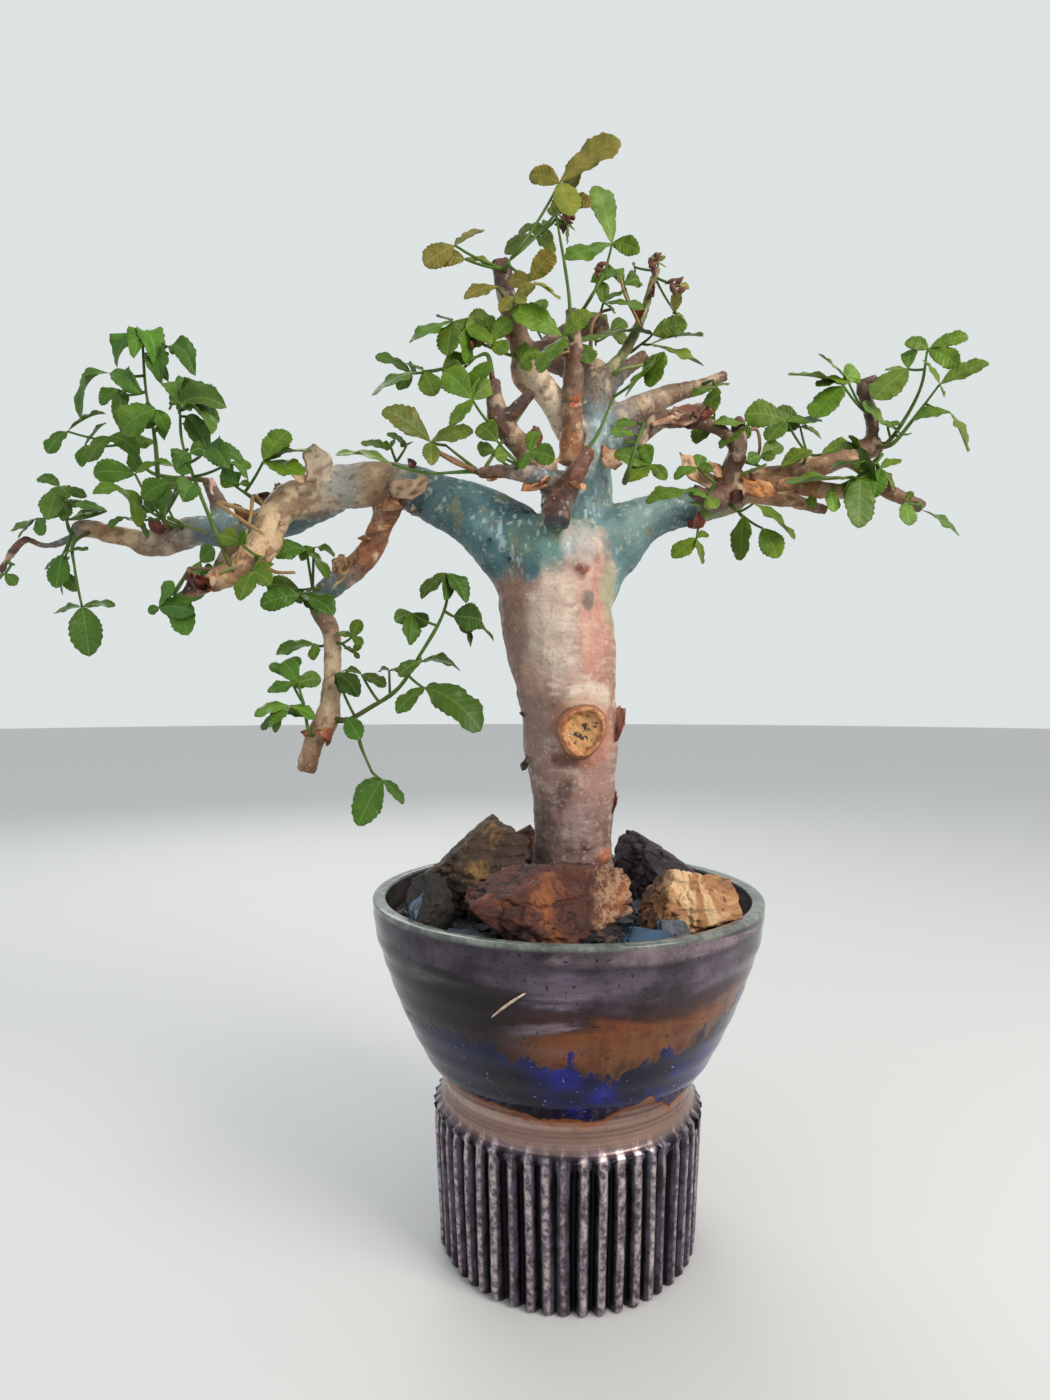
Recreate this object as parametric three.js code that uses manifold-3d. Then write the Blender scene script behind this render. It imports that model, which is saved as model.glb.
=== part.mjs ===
// A bonsai tree in a ribbed stoneware pot: pot, soil, rocks, slate, the tree, and its leafy shoots.
// Millimetres, +Z up. The origin is the centre of the pot's flat underside; -Y is the front.

import * as THREE from 'three';
import { ConvexGeometry } from 'three/addons/geometries/ConvexGeometry.js';
import { mergeVertices } from 'three/addons/utils/BufferGeometryUtils.js';
import Module from 'manifold-3d';

// ---------------------------------------------------------------- driving dimensions
const POT_HEIGHT = 177;
const RIM_RADIUS = 100;
const WALL = 6.5; // of the bowl, and the width of the flat lip
const LIP_BEVEL = 1;
const NECK_RADIUS = 65.4;
const DRUM_HEIGHT = 70.6;
const DRUM_TOP_RADIUS = 69.5; // over the ribs
const DRUM_FOOT_RADIUS = 66.2;
const RIB_COUNT = 50;
const RIB_DEPTH = 3.6;
const RIB_SHOULDER = 6; // height of the slope that the knife left at the top of each rib
const NECK_DROP = 1; // the drum's own wall ends this far under its height
const NECK_RISE = 4; // and meets the neck this far over it
const FLOOR = 9;
const DRAIN_RADIUS = 6;
const DRAIN_COUNT = 3;
const SOIL_DEPTH_BELOW_LIP = 12;
const SOIL_CROWN = 1; // the soil's middle stands over its level
const SOIL_EDGE = 2; // and its edge lies under it
const TREE_HEIGHT = 398; // from the soil to the tip of the highest shoot
const TREE_TURN_IN_POT = 0; // degrees about the trunk
const LEAF_THICKNESS = 1.4; // at the middle of a leaflet, thin at its edge
const LEAF_BREADTH = 0.56; // natural breadth of a leaflet over its length
const STALK_RADIUS = 0.75;
const GAP = 0.35; // clearance between pieces that touch
const ROUND = 32; // sides of the pot's round walls
const WALL_STEPS = 8; // steps of the bowl's curve

// The tree and the stones are drawn round a pot of these sizes, and are fitted to the real ones.
const DRAWN_SOIL = 165;
const DRAWN_TREE_HEIGHT = 398;
const DRAWN_RIM = 100;

// ---------------------------------------------------------------- helpers
const wasm = await Module();
wasm.setup();

/** A closed three.js geometry as a solid that can be joined and cut. */
function solid(geometry) {
  const bare = geometry.clone();
  bare.deleteAttribute('normal');
  bare.deleteAttribute('uv');
  const merged = mergeVertices(bare, 1e-4);
  const mesh = new wasm.Mesh({
    numProp: 3,
    vertProperties: new Float32Array(merged.attributes.position.array),
    triVerts: new Uint32Array(merged.index.array),
  });
  return new wasm.Manifold(mesh);
}

function geometryOf(shape) {
  const mesh = shape.getMesh();
  const geometry = new THREE.BufferGeometry();
  geometry.setAttribute('position', new THREE.BufferAttribute(new Float32Array(mesh.vertProperties), 3));
  geometry.setIndex(new THREE.BufferAttribute(new Uint32Array(mesh.triVerts), 1));
  geometry.computeVertexNormals();
  return geometry;
}

function joined(solids) {
  return solids.reduce((whole, piece) => whole.add(piece));
}

const group = new THREE.Group();

function addMesh(name, shape, color, roughness, metalness = 0) {
  const material = new THREE.MeshStandardMaterial({ color, roughness, metalness });
  const mesh = new THREE.Mesh(geometryOf(shape), material);
  mesh.name = name;
  group.add(mesh);
}

/** Repeatable numbers from 0 to 1. */
function dice(seed) {
  let state = seed;
  return () => {
    state = (state * 16807) % 2147483647;
    return state / 2147483647;
  };
}

const TREE_SCALE = TREE_HEIGHT / DRAWN_TREE_HEIGHT;
const SOIL_TOP = POT_HEIGHT - SOIL_DEPTH_BELOW_LIP;
const TURN = THREE.MathUtils.degToRad(TREE_TURN_IN_POT);

/** A drawn point of the tree, at the tree's own size and standing in the pot's soil. */
function planted([x, y, z]) {
  const point = new THREE.Vector3(x, y, z - DRAWN_SOIL).multiplyScalar(TREE_SCALE);
  point.applyAxisAngle(new THREE.Vector3(0, 0, 1), TURN);
  return point.add(new THREE.Vector3(0, 0, SOIL_TOP));
}

/** A tapered limb: an n-sided rod carried along a smooth line, its radius following the radii. */
function limb(points, radii, sides, steps, spare = 0) {
  const outline = new THREE.Shape();
  for (let i = 0; i < sides; i += 1) {
    const angle = (i / sides) * Math.PI * 2;
    outline[i ? 'lineTo' : 'moveTo'](Math.cos(angle), Math.sin(angle));
  }
  outline.closePath();
  const rod = new THREE.ExtrudeGeometry(outline, { depth: 1, steps, bevelEnabled: false });
  const line = new THREE.CatmullRomCurve3(points, false, 'centripetal');
  const frames = [];
  let across = new THREE.Vector3(0.3, 1, 0.2).normalize();
  for (let i = 0; i <= steps; i += 1) {
    const t = i / steps;
    const along = line.getTangent(t);
    across = across.clone().addScaledVector(along, -across.dot(along)).normalize();
    const centre = line.getPoint(t);
    if (i === 0) centre.addScaledVector(along, -spare);
    if (i === steps) centre.addScaledVector(along, spare);
    const seat = t * (radii.length - 1);
    const low = Math.min(Math.floor(seat), radii.length - 2);
    const radius = THREE.MathUtils.lerp(radii[low], radii[low + 1], seat - low) + spare;
    frames.push({ centre, across, over: along.clone().cross(across), radius });
  }
  const position = rod.attributes.position;
  for (let i = 0; i < position.count; i += 1) {
    const frame = frames[Math.round(position.getZ(i) * steps)];
    const point = frame.centre.clone();
    point.addScaledVector(frame.across, position.getX(i) * frame.radius);
    point.addScaledVector(frame.over, position.getY(i) * frame.radius);
    position.setXYZ(i, point.x, point.y, point.z);
  }
  return solid(rod);
}

// ---------------------------------------------------------------- pot
/** The bowl's curve, as shares of the way out from neck to lip and of the way up from drum to lip. */
const BOWL_CURVE = new THREE.SplineCurve([
  new THREE.Vector2(0, 0.15),
  new THREE.Vector2(0.03, 0.17),
  new THREE.Vector2(0.17, 0.23),
  new THREE.Vector2(0.34, 0.325),
  new THREE.Vector2(0.63, 0.53),
  new THREE.Vector2(0.86, 0.745),
  new THREE.Vector2(0.96, 0.86),
  new THREE.Vector2(1, 1),
]);

/** The pot's own wall from the foot to the lip, as radius and height, drawn in by an inset. */
function wallPoints(inset) {
  const bowl = BOWL_CURVE.getPoints(WALL_STEPS).map(
    (p) => new THREE.Vector2(
      THREE.MathUtils.lerp(NECK_RADIUS, RIM_RADIUS, p.x) - inset,
      THREE.MathUtils.lerp(DRUM_HEIGHT, POT_HEIGHT, p.y),
    ),
  );
  return [
    new THREE.Vector2(DRUM_FOOT_RADIUS - RIB_DEPTH - inset, 0),
    new THREE.Vector2(DRUM_TOP_RADIUS - RIB_DEPTH - inset, DRUM_HEIGHT - NECK_DROP),
    new THREE.Vector2(NECK_RADIUS - inset, DRUM_HEIGHT + NECK_RISE),
    ...bowl,
  ];
}

/** The inner wall's radius at a height, a gap inside the pot's wall. */
function innerRadius(height, gap) {
  const points = wallPoints(WALL + gap);
  const above = points.findIndex((p) => p.y >= height);
  const a = points[above - 1];
  const b = points[above];
  return THREE.MathUtils.mapLinear(height, a.y, b.y, a.x, b.x);
}

/** The room inside the pot from its floor up to a height, a gap away from the walls. */
function innerProfile(gap, top) {
  const bottom = FLOOR + gap;
  return [
    new THREE.Vector2(0, bottom),
    new THREE.Vector2(innerRadius(bottom, gap), bottom),
    ...wallPoints(WALL + gap).filter((p) => p.y > bottom && p.y <= top),
  ];
}

function lathe(points, segments = ROUND) {
  return solid(new THREE.LatheGeometry(points, segments).rotateX(Math.PI / 2));
}

/** The ring of upright ribs, each with a sloping shoulder where the knife left it. */
function ribRing() {
  const core = DRUM_TOP_RADIUS - RIB_DEPTH;
  const outline = new THREE.Shape();
  const corners = [
    [-0.38, core],
    [-0.2, DRUM_TOP_RADIUS],
    [0.2, DRUM_TOP_RADIUS],
    [0.38, core],
  ];
  for (let rib = 0; rib < RIB_COUNT; rib += 1) {
    corners.forEach(([share, radius], i) => {
      const angle = ((rib + share) / RIB_COUNT) * Math.PI * 2;
      const first = rib === 0 && i === 0;
      outline[first ? 'moveTo' : 'lineTo'](Math.cos(angle) * radius, Math.sin(angle) * radius);
    });
  }
  outline.closePath();
  const inside = new THREE.Path();
  inside.absarc(0, 0, core - 2, 0, Math.PI * 2, true);
  outline.holes.push(inside);
  const ring = new THREE.ExtrudeGeometry(outline, {
    depth: 1,
    steps: 2,
    curveSegments: 8,
    bevelEnabled: false,
  });
  const position = ring.attributes.position;
  for (let i = 0; i < position.count; i += 1) {
    const level = Math.round(position.getZ(i) * 2);
    const height = [0, DRUM_HEIGHT - RIB_SHOULDER, DRUM_HEIGHT][level];
    const radius = Math.hypot(position.getX(i), position.getY(i));
    const taper = THREE.MathUtils.lerp(DRUM_FOOT_RADIUS, DRUM_TOP_RADIUS, height / DRUM_HEIGHT);
    let scale = taper / DRUM_TOP_RADIUS;
    if (level === 2) scale = Math.min(radius, core + 0.4) / radius;
    position.setXYZ(i, position.getX(i) * scale, position.getY(i) * scale, height);
  }
  return solid(ring);
}

function potBody() {
  const outside = [
    new THREE.Vector2(0, 0),
    ...wallPoints(0).slice(0, -1),
    new THREE.Vector2(RIM_RADIUS, POT_HEIGHT - LIP_BEVEL),
    new THREE.Vector2(RIM_RADIUS - LIP_BEVEL, POT_HEIGHT),
    new THREE.Vector2(RIM_RADIUS - WALL, POT_HEIGHT),
    ...innerProfile(0, POT_HEIGHT - LIP_BEVEL).reverse(),
  ];
  let body = lathe(outside).add(ribRing());
  for (let i = 0; i < DRAIN_COUNT; i += 1) {
    const angle = ((i + 0.5) / DRAIN_COUNT) * Math.PI * 2;
    const radius = DRUM_FOOT_RADIUS / 2;
    const drain = new THREE.CylinderGeometry(DRAIN_RADIUS, DRAIN_RADIUS, FLOOR * 3, 12);
    drain.rotateX(Math.PI / 2).translate(Math.cos(angle) * radius, Math.sin(angle) * radius, 0);
    body = body.subtract(solid(drain));
  }
  return body;
}

/** The soil, which fills the pot; spare makes it thicker, to cut what rests on it. */
function soilBody(spare) {
  const edge = SOIL_TOP - SOIL_EDGE;
  const rim = innerRadius(edge, GAP);
  return lathe([
    ...innerProfile(GAP, edge - 1),
    new THREE.Vector2(rim + spare, edge + spare),
    new THREE.Vector2(rim * 0.6, SOIL_TOP + spare),
    new THREE.Vector2(0, SOIL_TOP + SOIL_CROWN + spare),
  ]);
}

// ---------------------------------------------------------------- tree
// Each limb: sides of its section, then its centre line as x, y, z and radius.
const LIMBS = {
  trunk: [12, [3, 0, 150, 23], [3, 0, 189, 21], [3, 0, 232, 22], [2, 0, 260, 24], [-1, 0, 285, 26],
    [-5, 0, 320, 28], [-6, 0, 345, 31], [-5, 0, 366, 30]],
  left_bough: [10, [-8, 0, 325, 20], [-24, -2, 352, 21], [-46, -3, 371, 16.5],
    [-66, -4, 380, 13.5], [-87, -4, 388, 11], [-112, -6, 386, 11], [-129, -8, 384, 11]],
  left_front_fork: [7, [-122, -8, 384, 9], [-145, -14, 375, 8], [-154, -20, 353, 7.5],
    [-163, -28, 341, 6], [-176, -32, 333, 4.2]],
  left_back_fork: [7, [-121, -4, 383, 9], [-146, 4, 373, 8.5], [-182, 14, 367, 8],
    [-200, 18, 369, 7.5], [-229, 24, 363, 7], [-243, 26, 367, 5], [-267, 28, 372, 4.5],
    [-274, 30, 370, 3.5]],
  left_end_twig: [4, [-270, 29, 370, 2.4], [-291, 32, 363, 1.4], [-306, 33, 366, 1.1],
    [-320, 34, 348, 0.8]],
  left_stub: [5, [-174, 12, 366, 4], [-179, 8, 353, 5], [-186, 6, 343, 3]],
  left_up_stub: [5, [-186, 16, 367, 5], [-189, 18, 382, 4.5], [-196, 20, 397, 3]],
  hanging_branch: [6, [-91, -6, 382, 7], [-96, -8, 366, 6], [-102, -6, 354, 6], [-112, -2, 344, 6],
    [-124, 2, 336, 5.5], [-132, 6, 328, 5], [-126, 9, 312, 4.5], [-125, 9, 295, 4.5],
    [-126, 8, 279, 5], [-128, 6, 266, 6], [-134, 3, 254, 5], [-137, 0, 238, 5]],
  right_bough: [8, [2, 0, 330, 20], [18, 2, 354, 19], [38, 3, 370, 12.5], [53, 4, 376, 10],
    [67, 5, 378, 8], [86, 8, 383, 7.5], [96, 10, 390, 7.5], [126, 14, 399, 6.5],
    [148, 17, 407, 5.8], [172, 20, 417, 5.5]],
  right_snag: [4, [168, 20, 414, 3.6], [168, 18, 430, 3], [162, 18, 447, 2.8], [170, 16, 451, 2.2]],
  right_low_fork: [5, [100, 8, 388, 5], [119, 2, 389, 4.5], [134, -4, 385, 4], [148, -6, 383, 3.4]],
  right_lower_twig: [5, [99, 10, 387, 4.6], [123, 14, 384, 3.4], [142, 18, 380, 2.4]],
  right_end_twig: [4, [152, 16, 407, 3.4], [158, 10, 401, 3.2], [168, 4, 388, 3.2],
    [178, 4, 383, 3], [190, 6, 379, 2.6]],
  right_up_stub: [5, [78, 2, 385, 6], [85, -4, 395, 5], [88, -8, 408, 4], [88, -8, 421, 3]],
  right_near_stub: [6, [94, 6, 388, 7], [73, -14, 377, 5], [62, -20, 381, 3]],
  leader: [10, [-2, 0, 345, 26], [5, 2, 370, 19], [11, 3, 395, 13], [13, 4, 424, 11],
    [15, 6, 442, 9.8], [13, 8, 455, 7]],
  crown_right: [6, [17, 6, 422, 8], [31, 10, 429, 7], [47, 14, 438, 6], [69, 20, 447, 3.6],
    [90, 26, 456, 2.6]],
  crown_low_right: [6, [18, 0, 405, 7], [33, -5, 412, 6], [51, -8, 421, 4.6], [77, -10, 415, 3.2],
    [89, -12, 398, 2.6]],
  crown_hang_twig: [4, [43, -10, 420, 2.4], [36, -16, 403, 2], [28, -20, 385, 1.8]],
  crown_shoot_right: [4, [17, 8, 443, 4], [21, 12, 453, 3.2], [31, 16, 464, 3], [42, 20, 486, 2.4],
    [51, 24, 516, 1.6]],
  left_snag: [6, [2, -6, 414, 8], [-7, -12, 426, 7], [-17, -17, 440, 6.2], [-24, -20, 453, 5.4],
    [-30, -22, 473, 4.6], [-34, -22, 494, 5]],
  left_snag_back: [5, [-24, -18, 450, 4.6], [-24, -12, 442, 5], [-16, -8, 435, 6]],
  dark_twig: [4, [-22, -20, 451, 3.4], [-9, -22, 452, 3.2], [3, -20, 453, 3]],
  back_knob: [6, [12, 8, 449, 7], [3, 14, 456, 6.5], [-9, 22, 467, 7], [6, 34, 485, 6],
    [24, 38, 491, 4.5]],
  back_branch: [6, [13, 10, 423, 8], [10, 30, 449, 6.5], [2, 48, 472, 5], [-15, 60, 488, 3.6]],
  back_right_branch: [6, [15, 14, 435, 6.5], [28, 34, 457, 5], [47, 50, 477, 3.4]],
  lower_left_stub: [6, [-12, -14, 392, 8], [-23, -28, 399, 5.6], [-35, -34, 412, 5],
    [-38, -36, 430, 3.4]],
  lower_left_twig: [4, [-33, -34, 409, 3.4], [-26, -38, 416, 2.8], [-18, -40, 423, 2.2]],
  front_knob: [6, [-5, -16, 384, 9], [-7, -32, 370, 7], [-7, -38, 360, 6]],
  front_knob_twig: [5, [-3, -30, 376, 5.5], [2, -34, 385, 4.5], [9, -36, 397, 3]],
  front_upright: [5, [1, -14, 396, 6], [2, -18, 424, 5], [3, -20, 453, 4], [1, -22, 471, 2.6]],
  shoulder_twig: [5, [-4, -20, 383, 6], [-24, -34, 386, 3.6], [-44, -38, 385, 2.6]],
  cut_stub: [8, [7, -14, 262, 12], [5, -36, 262, 10.5]],
};

function limbSolid([sides, ...line], spare) {
  const points = line.map(planted);
  const radii = line.map((p) => p[3] * TREE_SCALE);
  const steps = line.length - 1;
  return limb(points, radii, sides, steps, spare);
}

function wood(spare) {
  return joined(Object.values(LIMBS).map((line) => limbSolid(line, spare)));
}

// ---------------------------------------------------------------- leafy shoots
// Each spray: its name, its stem as x, y, z points, then its compound leaves. A leaf is the point where
// its leaflets meet, then the tip of each leaflet as x, y, z and the breadth that the front shows.
const SPRAYS = [
  ['crown_snag_leaves', [[-32, -28, 473]],
    [[-35, -36, 475], [-51, -40, 467, 9]],
    [[-27, -40, 468], [-17, -44, 471, 7], [-34, -42, 460, 7]]],
  ['crown_left_upper', [[-29, -24, 447], [-41, -30, 449]],
    [[-57, -34, 459], [-77, -40, 446, 10], [-59, -42, 439, 11], [-42, -30, 450, 14]],
    [[-39, -34, 449], [-41, -30, 464, 9], [-28, -38, 458, 9], [-30, -42, 441, 8]]],
  ['crown_left_middle', [[-40, -36, 442], [-46, -36, 441]],
    [[-71, -34, 435], [-95, -40, 421, 9], [-65, -42, 420, 11]],
    [[-62, -36, 435], [-51, -32, 444, 8], [-52, -42, 431, 10]]],
  ['crown_left_lower', [[-40, -40, 409]],
    [[-47, -44, 418], [-60, -48, 429, 14], [-56, -50, 403, 9], [-37, -38, 428, 10],
      [-41, -36, 439, 9]]],
  ['shoulder_olive_leaf', [[-45, -34, 387], [-60, -38, 398]],
    [[-67, -40, 399], [-89, -46, 412, 13], [-47, -36, 406, 9], [-66, -46, 386, 8]]],
  ['shoulder_long_leaf', [[-48, -36, 386], [-64, -40, 384]],
    [[-85, -42, 388], [-111, -46, 391, 7]]],
  ['bough_bud_leaves', [[-89, -4, 400]],
    [[-91, -8, 406], [-106, -12, 407, 5]]],
  ['crown_middle_leaves', [[-1, -30, 449]],
    [[-4, -36, 451], [-28, -40, 462, 14], [9, -42, 460, 9], [-14, -50, 428, 12]]],
  ['crown_light_leaf', [[3, -6, 466]],
    [[5, -14, 457], [10, -24, 443, 12]]],
  ['crown_upper_right', [[12, 4, 488], [20, 4, 502]],
    [[24, 2, 517], [15, -2, 545, 15], [-1, -6, 504, 13], [38, -2, 510, 10]]],
  ['crown_curled_leaf', [[39, 18, 485]],
    [[32, 16, 502], [14, 8, 502, 9], [42, 20, 507, 10], [24, 24, 516, 7]]],
  ['crown_inner_right', [[17, 14, 481]],
    [[20, 10, 489], [19, 12, 502, 8], [33, 16, 499, 7], [41, 4, 483, 7]]],
  ['crown_olive_right', [[36, 22, 468], [42, 18, 471]],
    [[47, 14, 474], [18, 0, 466, 8], [65, 8, 477, 12]],
    [[46, 12, 468], [75, 16, 474, 8], [73, 4, 453, 12]]],
  ['crown_drooping_right', [[1, -34, 388], [13, -30, 405], [22, -22, 427]],
    [[48, -18, 451], [40, -24, 431, 8]]],
  ['crown_tip_leaves_right', [[79, 10, 448]],
    [[80, 6, 443], [74, -2, 424, 7]],
    [[78, 2, 426], [67, -4, 409, 8]]],
  ['crown_back_leaves', [[-12, 46, 486]],
    [[-17, 52, 499], [-33, 60, 495, 11], [-11, 58, 515, 10], [-3, 56, 497, 9]]],
  ['crown_back_right_leaves', [[19, 44, 481]],
    [[28, 50, 491], [15, 58, 507, 9], [38, 58, 502, 9], [39, 54, 486, 8]]],
  ['right_fan_leaf', [[159, 8, 431]],
    [[146, 2, 442], [115, -4, 445, 9], [154, 6, 453, 10], [127, -6, 422, 13]]],
  ['right_shoot_low', [[173, 6, 412], [182, 2, 423], [194, -2, 440]],
    [[195, -2, 441], [217, -8, 450, 10], [189, 4, 456, 8]],
    [[198, -6, 425], [181, -2, 422, 8], [203, -14, 402, 11]]],
  ['right_inner_leaves', [[100, -6, 397]],
    [[93, -10, 417], [77, -16, 403, 7]],
    [[98, -14, 400], [90, -18, 396, 7], [111, -8, 407, 9]]],
  ['right_hanging_leaves', [[68, -8, 370]],
    [[66, -10, 359], [53, -14, 348, 9]]],
  ['right_tip_leaves', [[185, -3, 378]],
    [[184, -4, 375], [201, -10, 360, 7]],
    [[174, -8, 378], [174, -12, 365, 10]]],
  ['left_tall_shoot', [[-216, 8, 374], [-218, 4, 413], [-221, 0, 438], [-221, -4, 461]],
    [[-222, -4, 467], [-234, -10, 450, 11], [-210, -10, 449, 9]],
    [[-209, -4, 459], [-192, -8, 447, 9], [-212, -10, 440, 8]],
    [[-237, -6, 445], [-253, -12, 423, 13], [-220, -12, 436, 10]],
    [[-212, -10, 425], [-227, -16, 412, 16], [-208, -6, 415, 8]]],
  ['left_front_shoot',
    [[-165, -34, 342], [-173, -36, 362], [-180, -38, 381], [-187, -36, 400], [-189, -34, 416]],
    [[-189, -34, 419], [-167, -40, 417, 15], [-195, -28, 434, 10], [-170, -44, 406, 10],
      [-195, -30, 423, 8]],
    [[-187, -32, 414], [-176, -36, 398, 11]],
    [[-181, -42, 393], [-186, -46, 384, 9], [-175, -38, 395, 8]],
    [[-173, -44, 393], [-161, -50, 385, 12], [-156, -40, 391, 8]],
    [[-178, -42, 378], [-182, -48, 370, 12]]],
  ['left_middle_leaves', [[-210, -6, 370]],
    [[-203, -12, 387], [-204, -18, 368, 8], [-216, -16, 378, 11]],
    [[-224, -6, 393], [-244, -10, 393, 12], [-206, -2, 399, 8]],
    [[-228, -12, 384], [-241, -16, 381, 7]]],
  ['left_inner_leaves', [[-167, -20, 383]],
    [[-163, -24, 389], [-170, -30, 380, 8]],
    [[-151, -26, 394], [-140, -22, 410, 14], [-129, -34, 385, 9]]],
  ['left_hanging_leaf', [[-267, 14, 361], [-265, 12, 346]],
    [[-260, 10, 326], [-253, 4, 299, 15]]],
  ['left_far_leaf', [[-309, 30, 352]],
    [[-314, 30, 347], [-305, 26, 340, 6]]],
  ['left_under_leaves', [[-200, 2, 344]],
    [[-204, -6, 330], [-194, -12, 309, 14], [-185, -14, 329, 9]],
    [[-191, -4, 348], [-182, -8, 354, 10], [-193, -8, 338, 7]]],
  ['hanging_small_fan', [[-119, 4, 306]],
    [[-113, 0, 309], [-108, -2, 318, 7]]],
  ['hanging_left_upper', [[-132, 12, 305]],
    [[-135, 8, 306], [-154, 4, 300, 8], [-133, 2, 297, 7]]],
  ['hanging_bottom_leaf', [[-111, -4, 264], [-107, -6, 252], [-101, -8, 239]],
    [[-96, -8, 235], [-107, -14, 212, 14], [-112, -2, 224, 8]],
    [[-114, -10, 267], [-105, -18, 256, 10]]],
  ['crown_snag_leaves_top', [[-31, -30, 488], [-29, -31, 491]],
    [[-5, -28, 530], [24, -34, 547, 17], [-20, -24, 536, 10], [1, -36, 509, 13]],
    [[-56, -34, 496], [-42, -26, 508, 8], [-70, -40, 483, 12]],
    [[-19, -38, 477], [-8, -44, 487, 11], [-21, -34, 482, 8], [-6, -46, 464, 7],
      [-30, -34, 478, 8]]],
  ['crown_central_shoot', [[0, -30, 455], [0, -26, 472], [-2, -20, 493], [-6, -14, 521]],
    [[-16, -6, 516], [-33, 2, 512, 10], [-17, -2, 525, 7], [-7, -10, 505, 8]],
    [[-6, -14, 523], [-11, -17, 523, 4]]],
  ['crown_right_shoot_tips', [[50, 24, 511], [52, 25, 518]],
    [[52, 25, 519], [48, 23, 522, 3]],
    [[63, 20, 504], [69, 23, 504, 4]]],
  ['crown_front_leaves', [[-25, -44, 388]],
    [[-20, -46, 392], [-8, -50, 388, 10], [-17, -40, 404, 7]],
    [[-30, -46, 391], [-36, -50, 389, 7]],
    [[-35, -44, 398], [-44, -40, 407, 11]]],
  ['crown_lower_right_leaves', [[28, -33, 386], [32, -33, 400], [36, -31, 411]],
    [[41, -20, 394], [22, -24, 398, 9], [29, -28, 383, 9], [36, -26, 402, 8], [48, -24, 385, 7]],
    [[33, -28, 412], [22, -32, 410, 5]],
    [[31, -32, 405], [19, -36, 405, 6]]],
  ['right_upper_leaves', [[127, 2, 406]],
    [[114, -4, 421], [91, -8, 423, 14], [134, 0, 423, 8], [102, -12, 408, 8]],
    [[110, -8, 396], [127, -2, 407, 8]],
    [[130, -10, 402], [150, -6, 408, 9]]],
  ['right_near_leaves', [[73, -22, 384]],
    [[63, -26, 391], [66, -22, 398, 7], [51, -32, 383, 7]],
    [[67, -30, 375], [70, -36, 368, 7]],
    [[58, -32, 378], [36, -38, 370, 8]]],
  ['right_droop_leaves', [[87, -12, 372]],
    [[93, -18, 375], [111, -26, 355, 11]],
    [[97, -20, 362], [103, -26, 346, 12]]],
  ['right_end_leaves', [[167, 4, 406], [162, -2, 400]],
    [[162, -6, 396], [156, -12, 379, 9]],
    [[158, -8, 398], [133, -14, 393, 6]],
    [[149, -12, 389], [145, -20, 362, 16]],
    [[134, -12, 383], [134, -16, 371, 8]]],
  ['right_shoot_tall', [[175, 14, 416], [185, 14, 430], [191, 10, 445], [193, 8, 462]],
    [[194, 8, 464], [212, 2, 468, 8], [183, 12, 469, 9], [206, 0, 451, 11]],
    [[183, 8, 453], [161, 0, 434, 14], [187, 14, 466, 7]],
    [[172, 8, 422], [156, 2, 433, 8]]],
  ['left_end_shoot', [[-274, 24, 369], [-276, 22, 379]],
    [[-279, 22, 394], [-282, 16, 374, 13]],
    [[-294, 26, 377], [-286, 20, 367, 9]],
    [[-250, 16, 379], [-266, 8, 372, 7]],
    [[-274, 16, 355], [-274, 10, 336, 11]]],
  ['left_fork_leaves', [[-150, -34, 345], [-152, -36, 340]],
    [[-153, -36, 338], [-157, -42, 323, 10], [-143, -40, 331, 9]],
    [[-158, -38, 351], [-167, -42, 354, 9], [-153, -44, 354, 7]]],
  ['left_round_leaves', [[-229, 24, 402], [-238, 20, 418]],
    [[-242, 12, 444], [-249, 8, 434, 10]],
    [[-244, 8, 417], [-253, 2, 402, 11], [-230, 12, 409, 10]],
    [[-269, 12, 421], [-277, 6, 408, 9], [-251, 16, 433, 7]]],
  ['hanging_top_leaves', [[-132, -6, 334]],
    [[-134, -10, 353], [-148, -16, 348, 11]],
    [[-137, -10, 330], [-156, -16, 324, 12], [-118, -18, 320, 8]]],
  ['hanging_left_fan', [[-134, -6, 260], [-136, -8, 274]],
    [[-139, -8, 285], [-148, -4, 296, 11], [-128, -4, 287, 9]],
    [[-142, -12, 273], [-159, -16, 268, 7], [-150, -20, 262, 7]]],
  ['hanging_green_shoot',
    [[-117, 2, 265], [-102, -8, 272], [-86, -16, 282], [-74, -22, 299], [-64, -26, 315],
      [-60, -28, 327], [-60, -30, 338]],
    [[-60, -30, 338], [-72, -36, 325, 9], [-50, -36, 323, 8]],
    [[-78, -24, 319], [-86, -28, 315, 8], [-71, -20, 313, 8], [-78, -32, 303, 8]],
    [[-57, -28, 317], [-43, -32, 315, 14]],
    [[-73, -26, 295], [-84, -30, 288, 7]],
    [[-72, -24, 282], [-85, -30, 270, 7], [-43, -32, 262, 14]],
    [[-105, -14, 289], [-92, -18, 283, 5]],
    [[-121, -2, 290], [-108, -6, 278, 9]]],
];

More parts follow.
